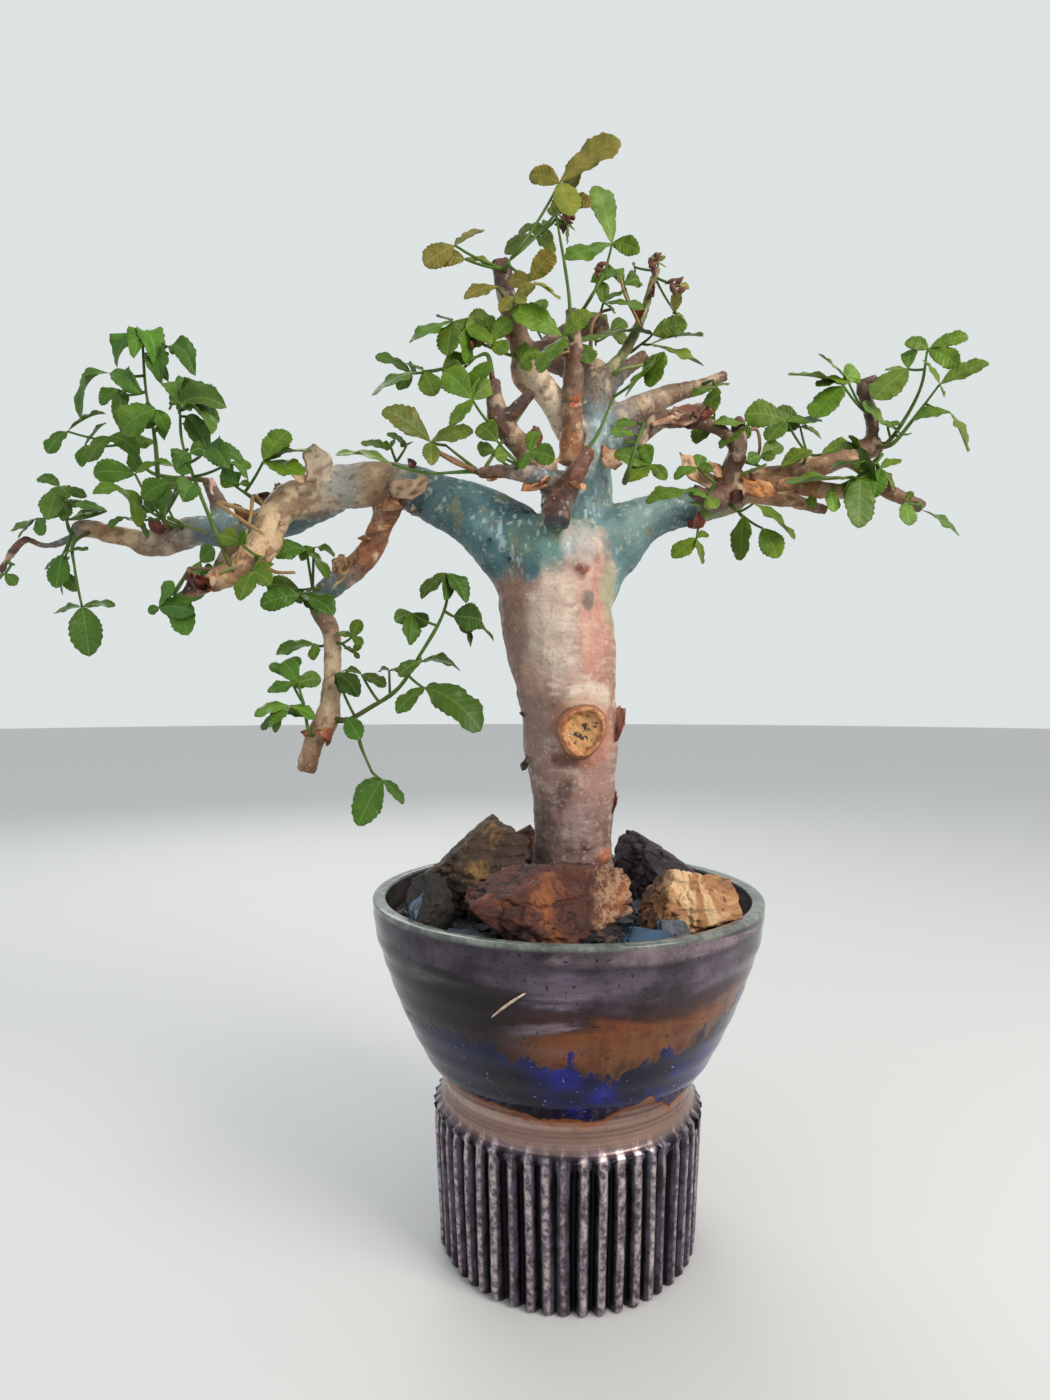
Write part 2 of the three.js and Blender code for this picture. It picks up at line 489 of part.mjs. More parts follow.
/** A leaflet turned to the front, then rolled until its breadth shows as narrow as it is given. */
function leaflet(joint, tip, shownBreadth, thickness) {
  const along = tip.clone().sub(joint);
  const length = along.length();
  along.normalize();
  const breadth = Math.max(shownBreadth, LEAF_BREADTH * length);
  const roll = Math.acos(Math.min(1, shownBreadth / breadth));
  const facing = new THREE.Vector3(0, -1, 0).addScaledVector(along, along.y).normalize();
  const side = along.clone().cross(facing);
  const lift = side.z > 0 ? roll : -roll;
  facing.multiplyScalar(Math.cos(lift)).addScaledVector(side, Math.sin(lift)).normalize();
  side.copy(along).cross(facing).negate();
  // A flat lens of eight faces: its heel just past the joint, its widest place a little over half way.
  const heel = 0.6;
  const wide = 0.55 * length;
  const blade = new THREE.OctahedronGeometry(1, 0);
  const position = blade.attributes.position;
  for (let i = 0; i < position.count; i += 1) {
    const x = position.getX(i);
    const below = x < -0.5 ? -heel : wide;
    const reach = x > 0.5 ? length : below;
    position.setXYZ(i, reach, (position.getY(i) * breadth) / 2, (position.getZ(i) * thickness) / 2);
  }
  blade.applyMatrix4(new THREE.Matrix4().makeBasis(along, side, facing).setPosition(joint));
  return solid(blade);
}

/** The point of a stem that lies nearest to a leaf's joint. */
function nearest(line, joint) {
  const places = line.getPoints(24);
  places.sort((a, b) => a.distanceTo(joint) - b.distanceTo(joint));
  return places[0];
}

function spraySolid([, stemPoints, ...leaves], spare) {
  const stem = stemPoints.map(planted);
  const radius = STALK_RADIUS + spare;
  const pieces = [];
  const bud = new THREE.OctahedronGeometry(radius * 2.2, 0).translate(...stem[0].toArray());
  pieces.push(solid(bud));
  let line = null;
  if (stem.length > 1) {
    line = new THREE.CatmullRomCurve3(stem, false, 'centripetal');
    const count = stem.length;
    const radii = stem.map((p, i) => radius * (1.7 - (0.5 * i) / count));
    pieces.push(limb(stem, radii, 4, count > 3 ? (count - 1) * 2 : count - 1));
  }
  leaves.forEach(([jointPoint, ...tips]) => {
    const joint = planted(jointPoint);
    const start = line ? nearest(line, joint) : stem[0];
    if (start.distanceTo(joint) > 0.5) {
      pieces.push(limb([start, joint], [radius * 1.2, radius], 3, 1, 0.2));
    }
    tips.forEach(([x, y, z, breadth]) => {
      const shown = breadth * TREE_SCALE + 2 * spare;
      pieces.push(leaflet(joint, planted([x, y, z]), shown, LEAF_THICKNESS + 2 * spare));
    });
  });
  return joined(pieces);
}

function boxesMeet(a, b) {
  const p = a.boundingBox();
  const q = b.boundingBox();
  return [0, 1, 2].every((i) => p.min[i] < q.max[i] && q.min[i] < p.max[i]);
}

// ---------------------------------------------------------------- rocks and slate
/** A broken stone: points spread over a rounded block, pushed in and out, and wrapped in flat faces. */
function stone({ at, size, turn, seed }, spare) {
  const random = dice(seed);
  const count = 22;
  const points = [];
  for (let i = 0; i < count; i += 1) {
    const z = 1 - (2 * (i + 0.5)) / count;
    const angle = i * 2.39996 + random() * 0.7;
    const flat = Math.sqrt(1 - z * z);
    const point = new THREE.Vector3(Math.cos(angle) * flat, Math.sin(angle) * flat, z);
    const boxy = Math.max(Math.abs(point.x), Math.abs(point.y), Math.abs(point.z));
    point.multiplyScalar(THREE.MathUtils.lerp(1, 0.82 / boxy, 0.6) * (0.86 + 0.24 * random()));
    point.multiply(new THREE.Vector3(...size).multiplyScalar(0.5).addScalar(spare));
    points.push(point);
  }
  const fit = RIM_RADIUS / DRAWN_RIM;
  const body = new ConvexGeometry(points).rotateZ(THREE.MathUtils.degToRad(turn));
  body.translate(at[0] * fit, at[1] * fit, SOIL_TOP + at[2]);
  return solid(body);
}

/** A slate chip: a thin plate with a broken outline, leaning as it fell. */
function chip({ at, size, lean, turn, seed }, spare) {
  const random = dice(seed);
  const corners = 7;
  const outline = new THREE.Shape(
    Array.from({ length: corners }, (_, i) => {
      const angle = (i / corners) * Math.PI * 2;
      const reach = 0.75 + 0.5 * random();
      return new THREE.Vector2(
        Math.cos(angle) * reach * (size[0] / 2 + spare),
        Math.sin(angle) * reach * (size[1] / 2 + spare),
      );
    }),
  );
  const thickness = size[2] + 2 * spare;
  const plate = new THREE.ExtrudeGeometry(outline, { depth: thickness, bevelEnabled: false });
  plate.translate(0, 0, -thickness / 2);
  plate.rotateX(THREE.MathUtils.degToRad(lean)).rotateZ(THREE.MathUtils.degToRad(turn));
  const fit = RIM_RADIUS / DRAWN_RIM;
  plate.translate(at[0] * fit, at[1] * fit, SOIL_TOP + at[2]);
  return solid(plate);
}

// at is x, y and height over the soil; size is width, depth and height.
const STONES = {
  rock_front_rust: { at: [-10, -65, 14], size: [88, 44, 54], turn: -4, seed: 11, color: '#8a4a2c' },
  rock_left_tall: { at: [-51, -10, 19], size: [66, 50, 76], turn: 18, seed: 23, color: '#6b4a30' },
  rock_left_dark: { at: [-66, -50, 12], size: [28, 24, 42], turn: 40, seed: 31, color: '#3c3430' },
  rock_right_ochre: { at: [56, -44, 10], size: [56, 34, 52], turn: -20, seed: 47, color: '#a8703f' },
  rock_right_grey: { at: [50, 24, 12], size: [52, 44, 56], turn: 12, seed: 53, color: '#5d4f55' },
  rock_back_red: { at: [-26, 46, 12], size: [46, 38, 58], turn: 30, seed: 61, color: '#5a3a34' },
};
const CHIPS = {
  slate_left_blue: {
    at: [-60, -74, 5], size: [30, 18, 4], lean: 24, turn: 40, seed: 71, color: '#3c5068',
  },
  slate_right_dark: {
    at: [41, -76, 5], size: [24, 18, 4], lean: -24, turn: 30, seed: 83, color: '#2e3440',
  },
};

// ---------------------------------------------------------------- assembly
const tree = wood(0);
const aroundTree = wood(GAP);
addMesh('pot', potBody(), '#5b4a52', 0.35, 0.2);
addMesh('soil', soilBody(0).subtract(aroundTree), '#2f2b2b', 0.95);
addMesh('tree', tree, '#7f8f8c', 0.75);

/** Nothing that lies in the bowl reaches its wall. */
function roomInPot() {
  const bottom = SOIL_TOP - 2 * SOIL_EDGE;
  const low = innerRadius(bottom, 2 * GAP);
  const wide = innerRadius(POT_HEIGHT - LIP_BEVEL, 3 * GAP);
  const ceiling = POT_HEIGHT + RIM_RADIUS;
  return lathe([
    new THREE.Vector2(0, bottom),
    new THREE.Vector2(low, bottom),
    new THREE.Vector2(wide, POT_HEIGHT - LIP_BEVEL),
    new THREE.Vector2(wide, ceiling),
    new THREE.Vector2(0, ceiling),
  ]);
}

const room = roomInPot();
let taken = soilBody(GAP).add(aroundTree);
function lay(name, item, make) {
  addMesh(name, make(item, 0).intersect(room).subtract(taken), item.color, 0.85);
  taken = taken.add(make(item, GAP));
}
Object.entries(STONES).forEach(([name, item]) => lay(name, item, stone));
Object.entries(CHIPS).forEach(([name, item]) => lay(name, item, chip));

const leafColors = ['#3f7a2c', '#4c8a30', '#2f6b2c', '#5a8a34'];
const grown = [];
SPRAYS.forEach((spray, i) => {
  let shape = spraySolid(spray, 0).subtract(aroundTree);
  const reach = spraySolid(spray, GAP);
  grown.filter((other) => boxesMeet(other, reach)).forEach((other) => {
    shape = shape.subtract(other);
  });
  grown.push(reach);
  addMesh(spray[0], shape, leafColors[i % leafColors.length], 0.45);
});

export default group;
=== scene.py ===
# %% [markdown]
# # A bonsai tree in a ribbed stoneware pot
#
# The object is a small tree with a thick, smooth trunk and a crown of three-part leaves. It stands among
# broken rocks in a thrown pot. Every piece here is a surface worked out with numpy: a function of two
# parameters on a grid, or a section carried along a line. The CAD model gives the frame, in metres, with
# the origin under the pot, +Z up and -Y towards the viewer.

# %% Load the fixed frame
import math

import bpy
import numpy as np
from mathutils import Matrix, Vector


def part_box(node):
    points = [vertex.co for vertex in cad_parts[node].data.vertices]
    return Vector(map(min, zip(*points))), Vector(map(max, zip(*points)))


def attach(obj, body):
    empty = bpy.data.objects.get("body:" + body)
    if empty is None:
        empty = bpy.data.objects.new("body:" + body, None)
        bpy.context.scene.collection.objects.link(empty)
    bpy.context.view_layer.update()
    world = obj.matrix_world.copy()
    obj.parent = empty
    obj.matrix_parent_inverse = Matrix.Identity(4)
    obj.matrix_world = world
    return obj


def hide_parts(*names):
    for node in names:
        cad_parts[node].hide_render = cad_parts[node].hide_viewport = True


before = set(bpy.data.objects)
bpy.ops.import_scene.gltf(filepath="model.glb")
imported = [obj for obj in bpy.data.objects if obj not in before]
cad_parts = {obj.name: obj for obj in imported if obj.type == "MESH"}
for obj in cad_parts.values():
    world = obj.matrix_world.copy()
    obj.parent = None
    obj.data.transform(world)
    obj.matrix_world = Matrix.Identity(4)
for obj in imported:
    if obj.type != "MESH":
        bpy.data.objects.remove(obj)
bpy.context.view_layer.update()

MM = 0.001

# %% [markdown]
# ## Camera
#
# The view is level, a little to the left of the trunk and close by, so the pot's lip shows as a thin
# ellipse and its foot as a fuller one. A wide lens keeps the whole tree in the upright frame. The numbers
# are where a person holding a phone would stand: about 43 cm from the trunk, 28 cm over the table.

# %% Place the camera
CAMERA_PLACE = (-0.022, -0.431, 0.276)
CAMERA_LENS_MM = 21.1

camera_data = bpy.data.cameras.new("camera")
camera_data.lens = CAMERA_LENS_MM
camera_data.sensor_width = 36.0
camera_data.clip_start = 0.01
camera = bpy.data.objects.new("camera", camera_data)
camera.location = CAMERA_PLACE
camera.rotation_euler = (math.radians(90), 0, 0)
bpy.context.scene.collection.objects.link(camera)
bpy.context.scene.camera = camera
print("camera at", CAMERA_PLACE, "lens", CAMERA_LENS_MM)

# %% [markdown]
# ## Helpers: meshes
#
# A mesh is made from whole arrays. In a closed grid the last column is joined to the first, and a pole is
# closed with a fan round one point. Faces are quads in the order that points outwards.

# %% Mesh helpers
def make_object(name, points, faces, smooth=True):
    """A mesh object from an (n, 3) array in millimetres and a list of faces."""
    mesh = bpy.data.meshes.new(name)
    mesh.from_pydata((np.asarray(points) * MM).tolist(), [], faces)
    mesh.polygons.foreach_set("use_smooth", np.full(len(mesh.polygons), smooth))
    mesh.update()
    piece = bpy.data.objects.new(name, mesh)
    bpy.context.scene.collection.objects.link(piece)
    return piece


def closed_tube(rings):
    """Points and faces of a stack of rings (rows, columns, 3) whose two ends are closed with a fan each."""
    rows, columns = rings.shape[:2]
    points = np.concatenate([rings.reshape(-1, 3), rings[0].mean(0)[None], rings[-1].mean(0)[None]])
    first, last = rows * columns, rows * columns + 1
    c = np.arange(columns)
    nxt = (c + 1) % columns
    r = columns * np.arange(rows - 1)[:, None]
    sides = np.stack([r + c, r + nxt, r + columns + nxt, r + columns + c], -1).reshape(-1, 4)
    bottom = np.stack([np.full(columns, first), nxt, c], -1)
    top = np.stack([np.full(columns, last), c + (rows - 1) * columns, nxt + (rows - 1) * columns], -1)
    return points, sides.tolist() + bottom.tolist() + top.tolist()


def joined(parts):
    """One (points, faces) from many: each part's faces are numbered on past the points before it."""
    starts = np.cumsum([0] + [len(points) for points, _ in parts]).tolist()
    faces = [[i + start for i in face] for start, (_, part) in zip(starts, parts) for face in part]
    return np.concatenate([points for points, _ in parts]), faces


def set_attribute(piece, name, values):
    """Give each vertex a number (n,) or a linear colour (n, 3)."""
    values = np.asarray(values, dtype=np.float32)
    if values.ndim == 1:
        layer = piece.data.attributes.new(name, "FLOAT", "POINT")
        layer.data.foreach_set("value", values)
        return
    layer = piece.data.attributes.new(name, "FLOAT_COLOR", "POINT")
    rgba = np.ones((len(values), 4), np.float32)
    rgba[:, :3] = values
    layer.data.foreach_set("color", rgba.ravel())


def declare(piece, nodes, material):
    """The piece rides on the one body, stands for its CAD nodes and takes its finish."""
    piece.data.materials.clear()
    piece.data.materials.append(material)
    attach(piece, "root")
    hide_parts(*nodes)
    print(f"{piece.name}: {len(piece.data.polygons)} faces for {', '.join(nodes)}")

# %% [markdown]
# ## Helpers: smooth chance
#
# Grown and thrown things are never quite regular. Value noise gives that: each corner of a lattice has a
# random height, and between corners the height is blended with an S-curve. Adding octaves adds finer grain.

# %% Noise on whole arrays
def corner_height(cell, seed):
    """A repeatable number from -1 to 1 for each lattice corner: the fraction of a large sine."""
    mixed = cell[..., 0] * 127.1 + cell[..., 1] * 311.7 + cell[..., 2] * 74.7 + seed * 19.19
    wave = np.sin(mixed) * 43758.5453
    return 2 * (wave - np.floor(wave)) - 1


def noise(points, size, seed=0):
    """Value noise of points (n, 3): corner heights of a lattice of this size, blended with 3t^2 - 2t^3."""
    q = np.asarray(points, float) / size
    cell = np.floor(q)
    t = q - cell
    t = t * t * (3 - 2 * t)
    total = np.zeros(q.shape[:-1])
    for corner in np.ndindex(2, 2, 2):
        offset = np.array(corner)
        weight = np.prod(np.where(offset == 1, t, 1 - t), axis=-1)
        total += weight * corner_height(cell + offset, seed)
    return total


def rough(points, size, octaves=3, seed=0):
    """Octaves of noise, each half as large and half as high as the one before."""
    return sum(noise(points, size / 2**k, seed + 7 * k) / 2**k for k in range(octaves))


def unit(v):
    """The direction of each vector: v / |v|."""
    return v / np.linalg.norm(v, axis=-1, keepdims=True)


def smooth_step(low, high, x):
    """0 at low, 1 at high, and 3t^2 - 2t^3 between them."""
    t = np.clip((x - low) / (high - low), 0, 1)
    return t * t * (3 - 2 * t)

# %% [markdown]
# ## Helpers: colours and shader nodes
#
# Colours are written as sRGB hex, as a paint chart gives them, and one function turns them linear. One
# function adds a shader node with its settings and links, so that a material reads as a list of steps.

# %% Material helpers
def linear(hex_colour):
    """The linear RGBA of an sRGB hex colour: (c + 0.055) / 1.055 to the power 2.4 above the toe."""
    c = np.array([int(hex_colour[i:i + 2], 16) for i in (1, 3, 5)]) / 255
    light = np.where(c <= 0.04045, c / 12.92, ((c + 0.055) / 1.055) ** 2.4)
    return (*light.tolist(), 1.0)


def rgb(hex_colour):
    """The linear colour without its alpha, as an array."""
    return np.array(linear(hex_colour)[:3])


def new_material(name):
    """A material that uses nodes, and its node tree."""
    material = bpy.data.materials.new(name)
    material.use_nodes = True
    return material, material.node_tree


# The kinds of shader node used here, each under a short name: its type, the sockets that are filled in
# order, the output that is passed on, and the settings that all of that kind share.
NODE_KINDS = {
    "place": ("TexCoord", (), "Object", {}),
    "vertex": ("Attribute", (), "Fac", {}),
    "axis": ("SeparateXYZ", ("Vector",), "Z", {}),
    "stretch": ("Mapping", ("Vector", "Scale", "Rotation"), "Vector", {}),
    "shift": ("Mapping", ("Vector", "Location"), "Vector", {}),
    "grain": ("TexNoise", ("Vector", "Scale", "Detail", "Roughness", "Distortion"), "Fac", {}),
    "cells": ("TexVoronoi", ("Vector", "Scale"), "Distance", {}),
    "ramp": ("ValToRGB", ("Fac",), "Color", {}),
    "mix": ("Mix", (0, 6, 7), 2, {"data_type": "RGBA"}),
    "span": ("MapRange", ("Value", "From Min", "From Max", "To Min", "To Max"), "Result",
             {"interpolation_type": "SMOOTHSTEP"}),
    "plus": ("Math", (0, 1), "Value", {"operation": "ADD"}),
    "minus": ("Math", (0, 1), "Value", {"operation": "SUBTRACT"}),
    "times": ("Math", (0, 1), "Value", {"operation": "MULTIPLY"}),
    "larger": ("Math", (0, 1), "Value", {"operation": "MAXIMUM"}),
    "zigzag": ("Math", (0, 1), "Value", {"operation": "PINGPONG"}),
    "bump": ("Bump", ("Height", "Strength", "Distance"), "Normal", {}),
}


def lead(tree, value, socket):
    """Fill a socket: link it to a (node, output) pair, or set it to a plain number or colour."""
    if isinstance(value, tuple) and isinstance(value[0], bpy.types.Node):
        tree.links.new(value[0].outputs[value[1]], socket)
    else:
        socket.default_value = value


def add(tree, kind, *values, output=None, stops=(), **settings):
    """Add a node of a named kind with its settings and links; stops are a ramp's (position, hex colour)."""
    node_type, sockets, usual_output, shared = NODE_KINDS[kind]
    node = tree.nodes.new("ShaderNode" + node_type)
    for key, value in {**shared, **settings}.items():
        setattr(node, key, value)
    for socket, value in zip(sockets, values):
        lead(tree, value, node.inputs[socket])
    for place, (position, colour) in enumerate(stops):
        elements = node.color_ramp.elements
        element = elements[place] if place < 2 else elements.new(position)
        element.position, element.color = position, linear(colour)
    return node, usual_output if output is None else output


def finish(tree, colour, roughness, height, bump_mm, **surface):
    """Lead colour, roughness and height into the surface; bump_mm is the real height of the relief."""
    shader = tree.nodes["Principled BSDF"]
    relief = add(tree, "bump", height, 1.0, bump_mm * MM)
    for socket, value in {"Base Color": colour, "Roughness": roughness, "Normal": relief, **surface}.items():
        lead(tree, value, shader.inputs[socket.replace("_", " ")])

# %% [markdown]
# ## Light and floor
#
# A pale floor and soft studio light: one large key high on the right in front, a weak fill on the left, a
# lamp behind, and a pale sky that keeps the shadows open. The glaze shows the key as a long soft highlight.

# %% Light the studio
def area_light(name, place, aim, size, power, colour):
    """A rectangular lamp at a place in metres, turned to its aim: yaw and pitch of the line between them."""
    data = bpy.data.lights.new(name, "AREA")
    data.shape = "RECTANGLE"
    data.size, data.size_y = size
    data.energy = power
    data.color = linear(colour)[:3]
    lamp = bpy.data.objects.new(name, data)
    lamp.location = place
    direction = np.array(aim) - np.array(place)
    yaw = math.atan2(direction[1], direction[0]) - math.pi / 2
    pitch = math.atan2(direction[2], math.hypot(direction[0], direction[1])) + math.pi / 2
    lamp.rotation_euler = (pitch, 0, yaw)
    bpy.context.scene.collection.objects.link(lamp)


area_light("key", (0.85, -0.75, 0.95), (0, 0, 0.3), (0.6, 0.8), 17, "#fff7ee")
area_light("fill", (-1.1, -0.9, 0.8), (0, 0, 0.25), (1.0, 1.0), 3, "#eaf2ff")
area_light("back", (-0.5, 1.2, 1.1), (0, 0, 0.3), (1.2, 0.8), 9, "#ffffff")

world = bpy.data.worlds.new("studio")
world.use_nodes = True
sky = world.node_tree.nodes["Background"]
sky.inputs["Color"].default_value = linear("#e6ebec")
sky.inputs["Strength"].default_value = 0.92
bpy.context.scene.world = world
bpy.context.scene.view_settings.view_transform = "Standard"

FLOOR_RADIUS_MM, FLOOR_CORNERS = 9000, 96
around = np.linspace(0, 2 * np.pi, FLOOR_CORNERS, endpoint=False)
floor_edge = np.stack([np.cos(around), np.sin(around), 0 * around], 1) * FLOOR_RADIUS_MM
floor = make_object("floor", floor_edge, [list(range(FLOOR_CORNERS))], smooth=False)
floor_material, floor_tree = new_material("pale plaster floor")
plaster = floor_tree.nodes["Principled BSDF"]
plaster.inputs["Base Color"].default_value = linear("#c6c6c5")
plaster.inputs["Roughness"].default_value = 0.6
floor.data.materials.append(floor_material)
print("floor and three lights placed")

# %% [markdown]
# ## The pot: its shape
#
# The pot is one piece of thrown stoneware. The potter threw a bowl on a thick drum, then cut about fifty
# upright flutes in the drum with a loop tool, which left round ribs whose tops slope like small shoulders.
# It could be a lathe with fifty bars joined on, but a revolved profile whose radius also depends on the
# angle gives soft ribs, uneven as a hand cuts them, in one closed skin. Every size comes from the CAD box
# of the pot and from the few numbers below.

# %% Measure the pot
POT_LOW, POT_HIGH = (np.array(c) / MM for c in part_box("pot"))
POT_HEIGHT = POT_HIGH[2]
RIM_RADIUS = (POT_HIGH[0] - POT_LOW[0]) / 2
WALL = 6.5
NECK_RADIUS = 65.4
DRUM_HEIGHT = 70.6
DRUM_TOP_RADIUS, DRUM_FOOT_RADIUS = 69.5, 66.2
RIB_COUNT, RIB_DEPTH = 50, 4.2
POT_COLUMNS = RIB_COUNT * 10
POT_FLOOR = 9  # height of the floor inside
LIP_ROUND = 1.6  # how far the flat lip is rounded off
INNER_FLOOR_RADIUS = DRUM_FOOT_RADIUS - WALL - 6
HUB = 0.6  # where the rings stop short of the middle, which a fan closes
print(f"pot {POT_HEIGHT:.1f} mm high, {2 * RIM_RADIUS:.1f} mm across the lip")

# %% Profile of the pot
# Shares of the bowl's breadth and of its height, from the neck to the lip.
BOWL_SHARES = np.array([[0, 0.15], [0.03, 0.17], [0.17, 0.23], [0.34, 0.325],
                        [0.63, 0.53], [0.86, 0.745], [0.96, 0.86], [1, 1]])


def smooth_line(points, count):
    """Catmull-Rom line: each span blends four neighbours by t, t^2 and t^3; count points in all."""
    points = np.asarray(points, float)
    padded = np.concatenate([2 * points[:1] - points[1:2], points, 2 * points[-1:] - points[-2:-1]])
    t = np.linspace(0, len(points) - 1, count)
    i = np.minimum(t.astype(int), len(points) - 2)
    f = (t - i)[:, None]
    a, b, c, d = (padded[i + k] for k in range(4))
    return 0.5 * (2 * b + (c - a) * f + (2 * a - 5 * b + 4 * c - d) * f**2 + (3 * b - a - 3 * c + d) * f**3)


def bowl_line(inset, count):
    """Radius and height up the bowl: the shares of its breadth and height, less the inset."""
    share = smooth_line(BOWL_SHARES, count)
    radius = NECK_RADIUS + (RIM_RADIUS - NECK_RADIUS) * share[:, 0] - inset
    return np.stack([radius, DRUM_HEIGHT + (POT_HEIGHT - DRUM_HEIGHT) * share[:, 1]], 1)


def straight(a, b, count):
    """Points from a to b without the last, so that the next part can start on it."""
    return np.linspace(a, b, count, endpoint=False)


LIP_CURVE = np.radians(np.linspace(-10, 190, 13))
LIP_BULGE = np.sign(np.cos(LIP_CURVE)) * abs(np.cos(LIP_CURVE)) ** 0.35
LIP = np.stack([RIM_RADIUS - WALL / 2 + WALL / 2 * LIP_BULGE,
                POT_HEIGHT - LIP_ROUND + LIP_ROUND * np.sin(LIP_CURVE)], 1)
PROFILE_PARTS = [
    straight([HUB, 0], [DRUM_FOOT_RADIUS - 2, 0], 6),
    straight([DRUM_FOOT_RADIUS - 1.4, 0], [DRUM_FOOT_RADIUS, 1.6], 3),
    straight([DRUM_FOOT_RADIUS, 1.6], [DRUM_TOP_RADIUS, DRUM_HEIGHT], 30),
    straight([DRUM_TOP_RADIUS, DRUM_HEIGHT], [NECK_RADIUS, DRUM_HEIGHT + 2.5], 4),
    straight([NECK_RADIUS, DRUM_HEIGHT + 2.5], [NECK_RADIUS - 0.6, DRUM_HEIGHT + 14], 6),
    bowl_line(0, 46)[:-2],
    LIP,
    bowl_line(WALL, 22)[::-1][1:],
    straight([NECK_RADIUS - WALL, DRUM_HEIGHT], [INNER_FLOOR_RADIUS, POT_FLOOR], 6),
    straight([INNER_FLOOR_RADIUS, POT_FLOOR], [HUB, POT_FLOOR], 5),
]
PROFILE = np.concatenate(PROFILE_PARTS)
FIRST_BOWL_ROW = sum(map(len, PROFILE_PARTS[:5]))
FIRST_INNER_ROW = sum(map(len, PROFILE_PARTS[:7])) - 1
print(len(PROFILE), "rings of", POT_COLUMNS, "points")

# %% Ribs and the potter's hand
rng = np.random.default_rng(50)
RIB_TURN = rng.normal(0, 0.05, RIB_COUNT)
RIB_WIDE = rng.normal(0.34, 0.02, RIB_COUNT)
RIB_LONG = rng.normal(0, 1.6, RIB_COUNT)
RIB_PROUD = rng.uniform(0.82, 1.08, RIB_COUNT)


def rib_height(angle, z):
    """1 on a rib and 0 in a groove: an S-curve of the distance from the rib's middle, cut off at its top."""
    turn = angle / (2 * np.pi) * RIB_COUNT
    index = np.mod(np.round(turn), RIB_COUNT).astype(int)
    wander = 0.03 * np.sin(z / 17 + index)
    across = np.abs(turn - np.round(turn) + RIB_TURN[index] + wander)
    body = 1 - smooth_step(RIB_WIDE[index] - 0.10, RIB_WIDE[index] + 0.10, across)
    crown = 1 - 0.25 * smooth_step(0, 0.3, across)
    return body * crown * RIB_PROUD[index], index


def pot_surface():
    """Radius(profile, angle) = profile radius - groove depth on the drum + the thrown wall's slow wobble."""
    angle = np.linspace(0, 2 * np.pi, POT_COLUMNS, endpoint=False)[None, :]
    radius = PROFILE[:, :1] + 0 * angle
    z = PROFILE[:, 1:] + 0 * angle
    rib, index = rib_height(angle + 0 * z, z)
    outside = (np.arange(len(PROFILE)) < FIRST_BOWL_ROW)[:, None]
    top = DRUM_HEIGHT - 4.5 + RIB_LONG[index]
    on_drum = outside * smooth_step(DRUM_FOOT_RADIUS * 0.9, DRUM_FOOT_RADIUS * 0.97, PROFILE[:, :1])
    groove = (1 - rib) * on_drum * (1 - smooth_step(top, top + 4.5, z))
    slope = rib * on_drum * smooth_step(top - 5, top + 5, z) * 0.42
    slope = slope * (1 - smooth_step(DRUM_HEIGHT - 1, DRUM_HEIGHT + 2, z))
    radius = radius - RIB_DEPTH * (groove + slope)
    radius *= 1 + 0.0035 * np.sin(angle * 2 + 0.6) * np.clip(z / POT_HEIGHT, 0, 1)
    rings = 0.22 * np.sin(z / 1.9) * smooth_step(DRUM_HEIGHT, DRUM_HEIGHT + 6, z)
    radius += rings * (z < POT_HEIGHT - 4) * (radius > 20)
    z = z + 0.9 * np.sin(angle - 0.4) * smooth_step(POT_HEIGHT * 0.8, POT_HEIGHT, z)
    points = np.stack([radius * np.cos(angle), radius * np.sin(angle), z], -1)
    return points, rib * on_drum, angle + 0 * z


pot_points, pot_rib, pot_angle = pot_surface()
points, faces = closed_tube(pot_points)
points[-2:, 2] = (0, POT_FLOOR)
pot = make_object("thrown_pot", points, faces)

# %% [markdown]
# ## The pot: its glaze
#
# Stoneware, dipped and poured: a plum-grey glaze under the lip breaks to rust on the curve of the bowl, a
# thick cobalt glaze ran down and stopped in drips above the neck, and the neck and ribs carry a metallic
# bronze. Runs follow gravity, so their edges are worked out as a height for each angle and stored on the
# mesh; the shader only frays them. Glaze is glass, smooth where thick, dry where it ran thin. Its IOR is
# set a little low, so that the pale studio does not wash out the dark glaze.

# %% Glaze edges on the pot
def edge_line(degrees, heights, angle):
    """Height in mm at an angle: straight between the poured edge's named places, round the whole pot."""
    return np.interp(np.mod(np.degrees(angle) + 180, 360) - 180, degrees, heights)


PLACES = [-180, -146, -131, -109, -97, -87, -75, -63, -46, -25, 0, 60, 120, 180]
RUN_BOTTOM = [99, 97, 94, 90, 88, 87, 92, 99, 88, 95, 99, 91, 97, 99]
RUN_TOP = [126, 130, 129, 124, 117, 116, 117, 122, 129, 140, 130, 118, 126, 126]


def glaze_edges(angle):
    """Poured edges plus tongues: noise round the rim direction, long-period for runs and short for drips."""
    ring = np.stack([np.cos(angle), np.sin(angle), 0 * angle], -1)
    runs = rough(ring * 70, 14, 3, seed=5)
    tongues = np.abs(rough(ring * 70, 6, 2, seed=9))
    bottom = edge_line(PLACES, RUN_BOTTOM, angle) + 2.0 * runs
    top = edge_line(PLACES, RUN_TOP, angle) + 3.0 * runs + 11 * tongues ** 1.5 - 3
    return bottom, top


run_bottom, run_top = glaze_edges(pot_angle)
pot_z = pot_points[..., 2]
on_inside = (np.arange(len(PROFILE)) >= FIRST_INNER_ROW)[:, None] * np.ones_like(pot_z)


def per_vertex(values):
    """One value for each vertex of the pot: the grid's, then one for each of the two end fans."""
    flat = np.asarray(values, float).ravel()
    return np.concatenate([flat, [flat[0], flat[-1]]])


